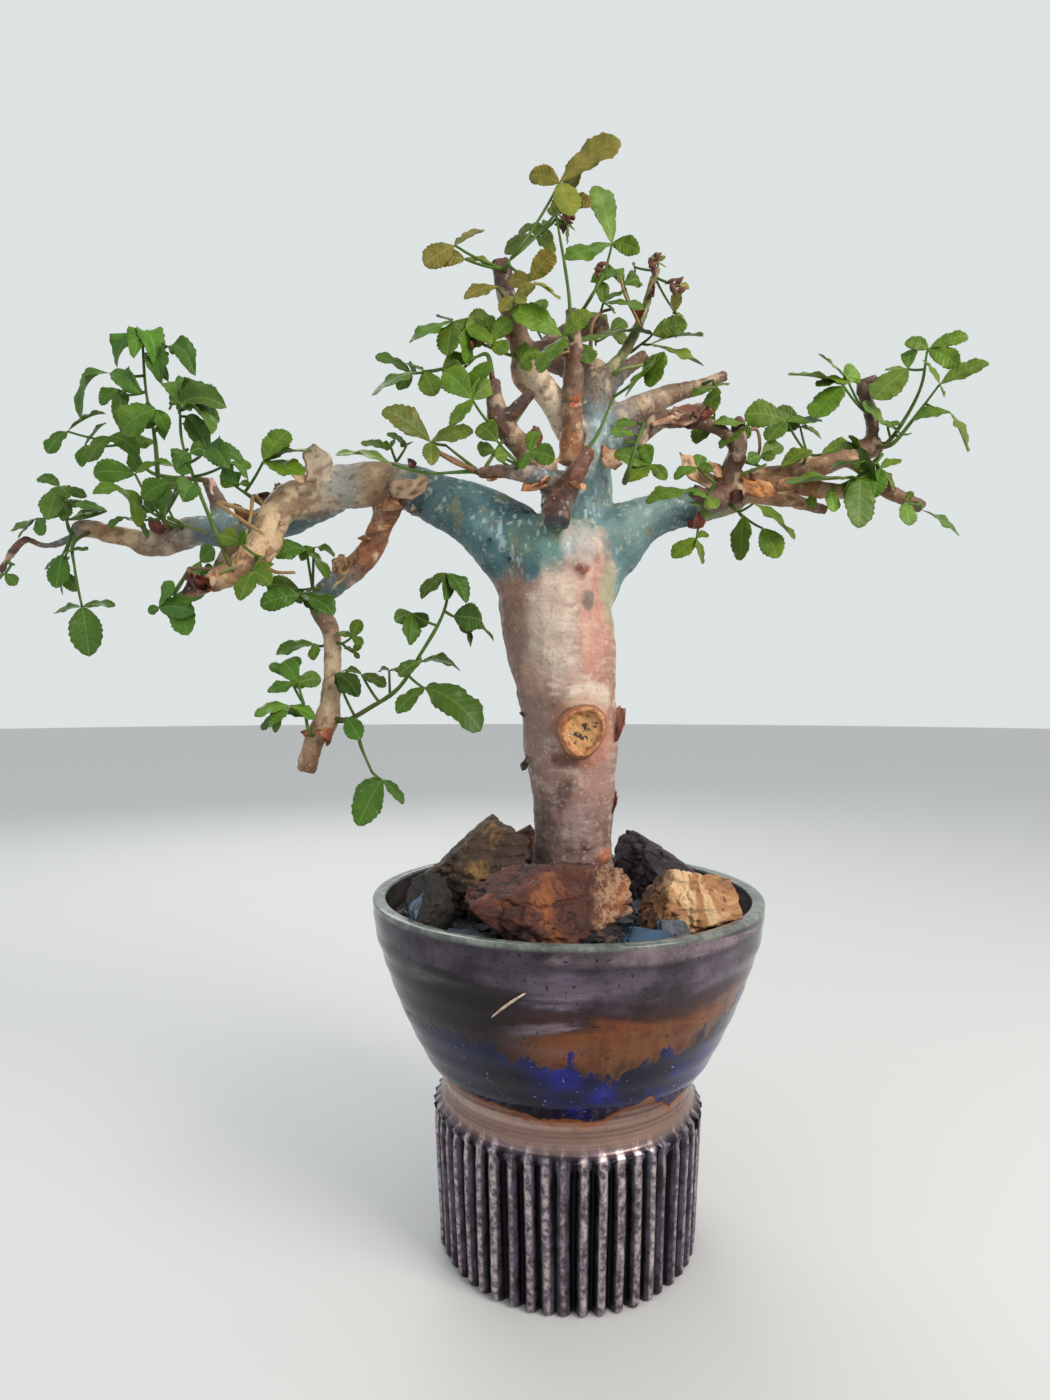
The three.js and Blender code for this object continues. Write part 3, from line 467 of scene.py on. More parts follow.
set_attribute(pot, "over_bottom", per_vertex(pot_z - run_bottom))
set_attribute(pot, "under_top", per_vertex(run_top - pot_z))
set_attribute(pot, "rib", per_vertex(pot_rib))
set_attribute(pot, "inside", per_vertex(on_inside))
# turn is 1 on the front right, where the key light falls, and 0 on the back left: it places the ochre streaks
# and the painted shade of the glaze.
set_attribute(pot, "turn", per_vertex(np.cos(pot_angle + np.radians(60)) * 0.5 + 0.5))

# %% Stoneware glaze
def stoneware():
    """Bronze foot and neck, rust bowl, plum shoulder, cobalt run between its two edges, grey-green lip."""
    material, tree = new_material("poured stoneware glaze")
    place = add(tree, "place")
    z = add(tree, "times", add(tree, "axis", place), 1 / MM)
    cloud = add(tree, "grain", place, 30, 6, 0.66)
    speckle = add(tree, "grain", place, 430, 3, 0.6)
    mottle = add(tree, "grain", place, 140, 5, 0.68)

    # Long slanting sweeps rise to the right where the glaze was poured on the turning bowl. Streaks hang
    # straight down where it ran, and fine level wheel lines cross the bare neck.
    sweep = add(tree, "grain", add(tree, "stretch", place, (8, 8, 40), (0, 0.5, 0)), 1.5, 5, 0.6, 0.5)
    streak = add(tree, "grain", add(tree, "stretch", place, (150, 150, 14)), 1.0, 5, 0.65)
    wheel = add(tree, "grain", add(tree, "stretch", place, (2, 2, 260)), 1.0, 3, 0.5)
    side = add(tree, "vertex", attribute_name="turn")

    wavy_z = add(tree, "plus", z, add(tree, "times", add(tree, "minus", sweep, 0.5), 62.0))
    bowl = add(tree, "ramp", add(tree, "span", wavy_z, 106, 176),
               stops=[(0.0, "#1f0d09"), (0.16, "#54240f"), (0.36, "#6f3a1c"), (0.52, "#35191a"),
                      (0.64, "#3b2a33"), (0.82, "#5d5260"), (1.0, "#3a313b")])
    plume = add(tree, "mix", add(tree, "span", sweep, 0.52, 0.64, 0, 0.8), bowl, linear("#85757d"))
    bowl = add(tree, "mix", add(tree, "span", z, 122, 138), bowl, plume)
    shadow = add(tree, "ramp", add(tree, "span", cloud, 0.36, 0.62),
                 stops=[(0.0, "#211619"), (1.0, "#ffffff")])
    bowl = add(tree, "mix", 0.75, bowl, shadow, blend_type="MULTIPLY")
    ochre = add(tree, "mix", add(tree, "span", streak, 0.40, 0.62, 0.15, 0.9), bowl, linear("#6e4729"))
    ochre_zone = add(tree, "times", add(tree, "span", side, 0.55, 0.95, 0, 0.85),
                     add(tree, "span", wavy_z, 150, 124))
    bowl = add(tree, "mix", ochre_zone, bowl, ochre)
    # Round the back and the left, away from the key light, the bowl below the plum shoulder is darkened
    # almost to black: painted shade.
    painted_shade_side = add(tree, "times", add(tree, "span", side, 0.93, 0.78, 0, 0.95),
                add(tree, "span", wavy_z, 164, 152))
    bowl = add(tree, "mix", painted_shade_side, bowl, linear("#0d080b"))
    bowl = add(tree, "mix", add(tree, "span", speckle, 0.62, 0.69, 0, 0.8), bowl, linear("#120b0e"))

    crust = add(tree, "grain", place, 330, 4, 0.6)
    bronze = add(tree, "ramp", add(tree, "span", crust, 0.32, 0.68),
                 stops=[(0.0, "#4d4249"), (0.5, "#8d8087"), (1.0, "#c2b5b5")])
    # The flanks of the ribs are darker than the crests: partly the bronze glaze's own colour, partly painted
    # shade on the flanks and a painted highlight on the crests.
    flank = add(tree, "mix", add(tree, "span", mottle, 0.35, 0.65), linear("#2c262d"), linear("#565060"))
    bronze = add(tree, "mix", add(tree, "span", add(tree, "vertex", attribute_name="rib"), 0.72, 0.92),
                 flank, bronze)
    pink = add(tree, "ramp", add(tree, "span", wheel, 0.3, 0.7),
               stops=[(0.0, "#6c544c"), (0.6, "#967b70"), (1.0, "#b8a297")])
    neck = add(tree, "mix", add(tree, "span", z, 70, 78), bronze, pink)
    neck = add(tree, "mix", add(tree, "span", mottle, 0.50, 0.72, 0, 0.45), neck, linear("#5a474c"))
    # The grooves between the ribs are near black: painted shade in the grooves.
    groove = add(tree, "mix", add(tree, "span", add(tree, "vertex", attribute_name="rib"), 0.15, 0.62),
                 linear("#080507"), bronze)
    metal = add(tree, "mix", add(tree, "span", z, 70.5, 73), groove, neck)

    # The lower edge of the poured glaze is ragged by a few mm; its upper edge runs up in spires.
    fray = add(tree, "times", add(tree, "minus", mottle, 0.5), 9.0)
    spires = add(tree, "times", add(tree, "minus", streak, 0.5), 34.0)
    below = add(tree, "plus", add(tree, "vertex", attribute_name="over_bottom"), fray)
    above = add(tree, "plus", add(tree, "vertex", attribute_name="under_top"),
                add(tree, "plus", fray, spires))
    colour = add(tree, "mix", add(tree, "span", below, -1.5, 1.5), metal, bowl)
    halo = add(tree, "times", add(tree, "span", below, -6.0, -0.5), add(tree, "span", below, 0.5, -0.3))
    colour = add(tree, "mix", add(tree, "times", halo, 0.8), colour, linear("#9a5526"))
    deep = add(tree, "span", above, 0.0, 16.0)
    cobalt = add(tree, "ramp", add(tree, "span", cloud, 0.38, 0.66),
                 stops=[(0.0, "#02021a"), (0.5, "#0a0c4a"), (1.0, "#141f84")])
    # The cobalt run is darkened the same way on the back and the left: painted shade.
    cobalt = add(tree, "mix", add(tree, "span", side, 0.93, 0.78, 0, 0.85), cobalt, linear("#030309"))
    cobalt = add(tree, "mix", add(tree, "times", deep, 0.2), cobalt, linear("#030310"))
    cobalt = add(tree, "mix", add(tree, "span", speckle, 0.67, 0.72), cobalt, linear("#6d7cc0"))
    in_run = add(tree, "times", add(tree, "span", below, -0.6, 0.8), add(tree, "span", above, -1.0, 1.2))
    colour = add(tree, "mix", in_run, colour, cobalt)

    lip = add(tree, "mix", add(tree, "span", mottle, 0.35, 0.7), linear("#4b514d"), linear("#777f77"))
    on_lip = add(tree, "times", add(tree, "span", z, 173.2, 175.2),
                 add(tree, "span", add(tree, "vertex", attribute_name="inside"), 1.0, 0.2))
    colour = add(tree, "mix", on_lip, colour, lip)
    colour = add(tree, "mix", add(tree, "times", add(tree, "vertex", attribute_name="inside"), 0.8),
                 colour, linear("#3c3a36"))

    is_metal = add(tree, "times", add(tree, "span", below, 0.5, -1.5), 0.75)
    glossy = add(tree, "span", mottle, 0.3, 0.75, 0.10, 0.24)
    satin = add(tree, "span", mottle, 0.3, 0.75, 0.24, 0.46)
    roughness = add(tree, "mix", add(tree, "span", below, 0.5, -1.5), glossy, satin)
    height = add(tree, "plus", add(tree, "times", mottle, 0.5), add(tree, "times", in_run, 0.9))
    finish(tree, colour, roughness, height, 0.3, Metallic=is_metal, IOR=1.31, Coat_Weight=0.05,
           Coat_Roughness=0.06)
    return material


declare(pot, ["pot"], stoneware())

# %% [markdown]
# ## The splinter on the glaze
#
# A pale straw splinter has stuck to the bowl in front. It is a flat sliver, so it is a short tube whose
# section is squashed, laid along the glaze.

# %% Straw splinter
def ring_frames(line):
    """For each point of a line: two directions across it, square to each other, that turn but little."""
    along = unit(np.gradient(line, axis=0))
    across = np.empty_like(along)
    last = np.array([0.3, 1.0, 0.2])
    for i, direction in enumerate(along):
        last = unit(last - direction * (last @ direction))
        across[i] = last
    return across, np.cross(along, across)


def swept_tube(line, radius, sides, squash=1.0):
    """A closed tube: centre + radius * (cos a * across + squash * sin a * over) at each point of the line."""
    line = np.asarray(line, float)
    across, over = ring_frames(line)
    angle = np.linspace(0, 2 * np.pi, sides, endpoint=False)[None, :, None]
    reach = np.asarray(radius, float).reshape(len(line), 1, 1)
    rings = line[:, None] + reach * (np.cos(angle) * across[:, None] + squash * np.sin(angle) * over[:, None])
    return closed_tube(rings)


def on_bowl(angle_degrees, z, proud=0.0):
    """A point on the bowl's outside, proud of the glaze by some mm."""
    bowl = bowl_line(0, 60)
    radius = np.interp(z, bowl[:, 1], bowl[:, 0]) + proud
    angle = np.radians(angle_degrees)
    return np.stack([radius * np.cos(angle), radius * np.sin(angle), z + 0 * radius], -1)


share = np.linspace(0, 1, 9)
splinter_line = on_bowl(-112.5 + 9.5 * share, 143 + 15 * share - 2 * share**2, 0.9)
points, faces = swept_tube(splinter_line, (1.15 * np.sin(np.pi * (0.08 + 0.84 * share)) ** 0.6)[:, None],
                           6, 0.5)
splinter = make_object("straw_splinter", points, faces)

straw, tree = new_material("dry straw")
place = add(tree, "place")
fibre = add(tree, "grain", place, 500, 3, 0.55)
finish(tree, add(tree, "ramp", fibre, stops=[(0.3, "#a98c72"), (0.7, "#e3cdb4")]), 0.7, fibre, 0.1)
declare(splinter, ["pot"], straw)

# %% [markdown]
# ## Soil and slate gravel
#
# The pot is filled with dark grit. A low bumpy sheet shows between the stones, and hundreds of split slate
# chips lie on it. Each chip is a thin plate with few faces, turned and sunk by chance; they are one piece.

# %% Soil
SOIL_LOW, SOIL_HIGH = (np.array(c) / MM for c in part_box("soil"))
SOIL_TOP = SOIL_HIGH[2] - 1.0
SOIL_RADIUS = (SOIL_HIGH[0] - SOIL_LOW[0]) / 2
SOIL_SHEET = 14  # depth in mm of the part that is built, as no one sees further down


def soil_height(x, y):
    """Grit level: gentle heaps plus crumbs."""
    flat = np.stack([x, y, 0 * x], -1)
    return SOIL_TOP + 1.6 * noise(flat, 30, 2) + 1.1 * rough(flat, 7, 3, seed=4)


def soil_rings():
    """Rings from the middle out to the wall, then down the wall and back to the middle below."""
    angle = np.linspace(0, 2 * np.pi, 144, endpoint=False)[None, :]
    radius = np.linspace(0.5, SOIL_RADIUS - 0.4, 60)[:, None]
    x, y = radius * np.cos(angle), radius * np.sin(angle)
    top = np.stack([x, y, soil_height(x, y)], -1)
    low = SOIL_TOP - SOIL_SHEET
    wall = top[-1] * [0.97, 0.97, 0] + [0, 0, low]
    bottom = wall * [0.01, 0.01, 0] + [0, 0, low]
    return np.concatenate([top, wall[None], bottom[None]])[::-1]


points, faces = closed_tube(soil_rings())
soil = make_object("planting_mix", points, faces)


def grit():
    """Crushed slate and earth: near black, with grey and brown grains about 2 mm across."""
    material, tree = new_material("planting grit")
    place = add(tree, "place")
    grains = add(tree, "cells", place, 520.0)
    patches = add(tree, "grain", place, 60, 4.0, 0.55)
    colour = add(tree, "mix", patches, linear("#191514"), linear("#39322e"))
    colour = add(tree, "mix", 0.5, colour,
                 add(tree, "ramp", (grains[0], "Color"), stops=[(0.2, "#0f0d0e"), (0.9, "#5c5450")]))
    finish(tree, colour, 0.9, grains, 0.6)
    return material


declare(soil, ["soil"], grit())

# %% Slate gravel
CHIP_COUNT = 620
chance = np.random.default_rng(12)


def gravel():
    """Six-sided plates: two rings of six corners each, thickness 1-3 mm, reach 2-8 mm, turned by chance."""
    angle = chance.uniform(0, 2 * np.pi, CHIP_COUNT)
    radius = np.sqrt(chance.uniform(0.06, 1, CHIP_COUNT)) * (SOIL_RADIUS - 4.5)
    reach = chance.uniform(1.8, 5.2, CHIP_COUNT) * np.where(chance.random(CHIP_COUNT) > 0.85, 1.5, 1)
    corner = np.linspace(0, 2 * np.pi, 6, endpoint=False)[None] + chance.uniform(-0.35, 0.35, (CHIP_COUNT, 6))
    ragged = reach[:, None] * chance.uniform(0.6, 1.15, (CHIP_COUNT, 6))
    flat = np.stack([ragged * np.cos(corner), ragged * np.sin(corner) * 0.75, 0 * ragged], -1)
    thick = chance.uniform(0.5, 1.5, CHIP_COUNT)[:, None, None] * np.array([0, 0, 1.0])
    plates = np.concatenate([flat * [1, 1, 0] - thick, flat * [0.9, 0.9, 0] + thick], 1)
    plates[..., 2] += chance.uniform(-0.25, 0.25, (CHIP_COUNT, 12))
    lean, yaw = chance.normal(0, 0.42, CHIP_COUNT), chance.uniform(0, 2 * np.pi, CHIP_COUNT)
    cl, sl, cy, sy = np.cos(lean), np.sin(lean), np.cos(yaw), np.sin(yaw)
    zero, one = 0 * lean, 0 * lean + 1
    tilt = np.stack([one, zero, zero, zero, cl, -sl, zero, sl, cl], -1).reshape(-1, 3, 3)
    turn = np.stack([cy, -sy, zero, sy, cy, zero, zero, zero, one], -1).reshape(-1, 3, 3)
    plates = np.einsum("nij,njk,nck->nci", turn, tilt, plates)
    x, y = radius * np.cos(angle), radius * np.sin(angle)
    level = soil_height(x, y) + 0.7 + 0.25 * reach * np.abs(np.sin(lean))
    return plates + np.stack([x, y, level], -1)[:, None]


chips = gravel()
side = [[i, (i + 1) % 6, (i + 1) % 6 + 6, i + 6] for i in range(6)]
one_chip = [[5, 4, 3, 2, 1, 0], [6, 7, 8, 9, 10, 11]] + side
faces = [[i + 12 * k for i in face] for k in range(CHIP_COUNT) for face in one_chip]
gravel_piece = make_object("slate_gravel", chips.reshape(-1, 3), faces, smooth=False)
tint = np.repeat(chance.random(CHIP_COUNT), 12)
set_attribute(gravel_piece, "tint", tint)


def split_slate(name, dark, pale, warm):
    """Slate splits in flat, faintly shining leaves: blue-grey, rough 0.42 to 0.7, with a fine grain."""
    material, tree = new_material(name)
    place = add(tree, "place")
    cloud = add(tree, "grain", place, 90, 5, 0.55)
    fine = add(tree, "grain", place, 700, 4, 0.55)
    colour = add(tree, "mix", add(tree, "span", cloud, 0.3, 0.7), linear(dark), linear(pale))
    colour = add(tree, "mix", add(tree, "span", add(tree, "vertex", attribute_name="tint"), 0.72, 0.95),
                 colour, linear(warm))
    finish(tree, colour, add(tree, "span", fine, 0.3, 0.7, 0.42, 0.7), fine, 0.25)
    return material


dark_slate = split_slate("split slate", "#15171d", "#3b4350", "#5a4234")
declare(gravel_piece, ["soil"], dark_slate)

# %% [markdown]
# ## Rocks
#
# Six lumps of ironstone lie round the trunk. Broken stone is flat faces meeting in edges, with finer steps
# on each face. So a stone's radius in a direction is the nearest of a handful of planes, softened a little,
# with noise on top. It could be sculpted, but planes give true broken facets from a few numbers.

# %% Broken stone
def ball_grid(rows, columns):
    """Directions on a ball: rows from the lowest to the highest, columns round it."""
    tilt = np.linspace(-np.pi / 2 + 0.02, np.pi / 2 - 0.02, rows)[:, None]
    turn = np.linspace(0, 2 * np.pi, columns, endpoint=False)[None, :]
    return np.stack([np.cos(tilt) * np.cos(turn), np.cos(tilt) * np.sin(turn), np.sin(tilt) + 0 * turn], -1)


def broken_stone(low, high, seed, planes, leaves, cuts):
    """Radius = (sum of (n.d / h)^p)^(-1/p) over planes (n, h), plus noise, stretched to fill the box."""
    dice = np.random.default_rng(seed)
    ball = ball_grid(120, 200)
    normals = dice.normal(size=(planes, 3)) * [1, 1, 0.9]
    cuts = np.array(cuts, float)
    normals = np.concatenate([normals, cuts[:, :3]])
    normals = np.concatenate([normals / np.linalg.norm(normals, axis=1, keepdims=True),
                              np.eye(3), -np.eye(3)])
    reach = np.concatenate([dice.uniform(0.66, 0.95, planes), cuts[:, 3], np.full(6, 0.9)])
    facing = np.clip(ball @ normals.T / reach, 1e-3, None)
    radius = np.sum(facing**60, -1) ** (-1 / 60)
    body = ball * radius[..., None]
    size = (high - low) / 2
    real = body * size
    slope = real @ np.array([0.25, -0.2, 1.0])
    steps = np.abs(np.mod(slope / 5.5 + 0.5 * noise(real, 14, seed), 1) - 0.5)
    crags = np.abs(rough(real, 11, 4, seed + 2))
    grow = 0.05 * rough(real, 16, 3, seed) + 0.03 * rough(real, 3.4, 3, seed + 1) - leaves * steps
    grow = grow - 0.09 * smooth_step(0.22, 0.0, crags)
    real = real * (1 + grow)[..., None]
    flat = real.reshape(-1, 3)
    real = (real - flat.min(0)) / (flat.max(0) - flat.min(0))
    return low + real * (high - low)


def ironstone(name, dark, body, bright, seed, from_x, to_x, side_colour):
    """Weathered ironstone: dark crust in patches, rust body, ochre where it split fresh; matt."""
    material, tree = new_material(name)
    place = add(tree, "place")
    across = add(tree, "axis", place, output="X")
    place = add(tree, "shift", place, (seed * 0.37, seed * 0.11, 0))
    cloud = add(tree, "grain", place, 38, 7, 0.66, 0.8)
    fine = add(tree, "grain", place, 260, 6, 0.7)
    grit = add(tree, "grain", place, 900, 3, 0.6)
    colour = add(tree, "ramp", add(tree, "span", cloud, 0.3, 0.7),
                 stops=[(0.0, dark), (0.38, body), (0.66, body), (1.0, bright)])
    wander = add(tree, "times", add(tree, "minus", cloud, 0.5), 0.06)
    along = add(tree, "plus", across, wander)
    fresh = add(tree, "mix", add(tree, "span", fine, 0.35, 0.6), linear(side_colour), colour)
    colour = add(tree, "mix", add(tree, "span", along, from_x * MM, to_x * MM, 0, 0.9), colour, fresh)
    colour = add(tree, "mix", add(tree, "span", fine, 0.56, 0.74, 0, 0.55), colour, linear(bright))
    colour = add(tree, "mix", add(tree, "span", fine, 0.46, 0.32, 0, 0.85), colour, linear(dark))
    bed = add(tree, "grain", add(tree, "stretch", place, (30, 30, 230), (0.3, 0.25, 0)), 1.0, 4, 0.6)
    colour = add(tree, "mix", add(tree, "span", bed, 0.44, 0.34, 0, 0.6), colour, linear("#1d1310"))
    height = add(tree, "plus", add(tree, "times", fine, 1.0),
                 add(tree, "plus", add(tree, "times", bed, 0.9), add(tree, "times", grit, 0.35)))
    finish(tree, colour, add(tree, "span", grit, 0.3, 0.7, 0.62, 0.92), height, 1.0)
    return material


# Each rock: seed, chance planes, depth of its layers, its own cuts (normal and reach), its three colours,
# and the stretch of x in mm over which one side turns to another colour.
ROCKS = {
    "rock_front_rust": (5, 8, 0.06, [(0.3, -0.8, 0.5, 0.62), (-0.5, -0.3, 0.8, 0.66)],
                        ("#1c0d09", "#4c2215", "#8f5026"), (2, 14, "#bb9470")),
    "rock_left_tall": (8, 7, 0.07, [(-0.66, 0, 0.75, 0.40), (0.3, -0.9, 0.3, 0.66)],
                       ("#17100d", "#3d2b1d", "#8a6838"), (-30, -24, "#3a2a22")),
    "rock_left_dark": (3, 11, 0.05, [(-0.5, -0.5, 0.7, 0.42), (0.6, -0.2, 0.7, 0.5)],
                       ("#0f0d0d", "#221d1a", "#4a3b2f"), (-200, -190, "#221d1a")),
    "rock_right_ochre": (14, 8, 0.06, [(0.5, -0.5, 0.7, 0.6)],
                         ("#3a2214", "#9a6a42", "#cfae84"), (52, 38, "#241b19")),
    "rock_right_grey": (21, 7, 0.05, [(0.62, 0, 0.78, 0.38), (0.2, -0.9, 0.4, 0.62)],
                        ("#171316", "#342b34", "#6a5a60"), (60, 66, "#4a3a38")),
    "rock_back_red": (26, 8, 0.05, [(-0.5, 0.2, 0.8, 0.6)],
                      ("#1f1311", "#4a2c24", "#7c4d3a"), (200, 210, "#4a2c24")),
}
for seed, (node, (shape_seed, planes, leaves, cuts, colours, side)) in enumerate(ROCKS.items(), 1):
    low, high = (np.array(c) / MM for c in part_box(node))
    points, faces = closed_tube(broken_stone(low, high, shape_seed, planes, leaves, cuts))
    stone = make_object(node + "_stone", points, faces)
    declare(stone, [node], ironstone(f"ironstone {seed}", *colours, seed, *side))

# %% [markdown]
# ## Large slate chips
#
# Seven chips lie among the grit, and two larger ones have nodes of their own. Slate splits in leaves, so
# each chip is three thin plates, one on another, with broken outlines that don't quite match.

# %% Large slate chips
def broken_outline(angle, seed):
    """Radius = (sum of (cos(a - a_k) / h_k)^p)^(-1/p): a polygon of seven straight broken edges."""
    dice = np.random.default_rng(seed)
    edges = np.linspace(0, 2 * np.pi, 7, endpoint=False) + dice.uniform(-0.4, 0.4, 7)
    reach = dice.uniform(0.55, 1.0, 7)
    facing = np.clip(np.cos(angle[:, None] - edges) / reach, 1e-3, None)
    return np.sum(facing**40, -1) ** (-1 / 40)


def leaf_stack(centre, size, tilt_degrees, turn_degrees, seed):
    """Three plates of radius(angle) = ellipse * broken outline, each a little smaller than the one below."""
    dice = np.random.default_rng(seed)
    columns = 40
    angle = np.linspace(0, 2 * np.pi, columns, endpoint=False)
    plates = []
    for layer in range(3):
        ring = np.stack([np.cos(angle), np.sin(angle), 0 * angle], -1)
        notch = broken_outline(angle, seed) * (1 + 0.06 * noise(ring * 10, 2.5, seed + layer))
        outline = ring * (size[:2].tolist() + [1]) * (notch * (0.53 - 0.05 * layer))[:, None]
        level = size[2] * (layer / 3 - 0.5)
        rings = np.stack([outline * k + [0, 0, level + rise] for k, rise in
                          [(0.02, 0), (0.6, 0), (0.97, 0), (1, 0.3), (0.98, size[2] / 3 - 0.2),
                           (0.94, size[2] / 3), (0.5, size[2] / 3), (0.02, size[2] / 3)]])
        rings[..., 2] += 0.25 * noise(rings, 4, seed + 3)
        layer_points, layer_faces = closed_tube(rings)
        plates.append((layer_points + dice.normal(0, 0.3, 3) * [1, 1, 0], layer_faces))
    points, faces = joined(plates)
    lean, turn = np.radians([tilt_degrees, turn_degrees])
    tip = np.array([[1, 0, 0], [0, np.cos(lean), -np.sin(lean)], [0, np.sin(lean), np.cos(lean)]])
    yaw = np.array([[np.cos(turn), -np.sin(turn), 0], [np.sin(turn), np.cos(turn), 0], [0, 0, 1]])
    return points @ (yaw @ tip).T + centre, faces


blue_slate = split_slate("blue slate", "#101b28", "#35506b", "#2a3642")
SHARDS = [
    ("blue_shard_left", (-66, -57, 173), (20, 26, 3), 66, 24, blue_slate),
    ("blue_shard_low", (-78, -40, 169), (22, 14, 3), 20, 60, blue_slate),
    ("dark_shard_left", (-48, -74, 171), (20, 14, 3), 30, -20, dark_slate),
    ("blue_shard_middle", (34, -74, 171), (26, 16, 3), 38, -14, blue_slate),
    ("dark_shard_middle", (46, -66, 173), (20, 18, 3), 52, 18, dark_slate),
    ("dark_shard_front", (-10, -84, 170), (24, 12, 2.6), 24, 8, dark_slate),
    ("blue_shard_right", (70, -46, 170), (22, 14, 3), 28, 46, blue_slate),
]
for name, centre, size, lean, turn, material in SHARDS:
    points, faces = leaf_stack(np.array(centre), np.array(size), lean, turn, seed=len(name) + int(size[0]))
    shard = make_object(name, points, faces, smooth=False)
    set_attribute(shard, "tint", np.full(len(points), 0.4))
    declare(shard, ["soil"], material)

for node, size, lean, turn, material in (
        ("slate_left_blue", np.array([17, 12, 3.0]), 24, 40, blue_slate),
        ("slate_right_dark", np.array([22, 16, 3.6]), -24, 30, dark_slate)):
    low, high = (np.array(c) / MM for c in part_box(node))
    middle = (low + high) / 2 * [0.92, 0.92, 1]
    points, faces = leaf_stack(middle, size, lean, turn, seed=len(node))
    chip = make_object(node + "_chip", points, faces, smooth=False)
    set_attribute(chip, "tint", np.full(len(points), 0.4))
    declare(chip, [node], material)

# %% [markdown]
# ## The tree: its limbs
#
# The tree is an old trunk with two long boughs, a leader with snags and twigs, and a branch that hangs.
# Each limb is a line of centre points with a radius at each. They are the CAD model's own lines, in mm.

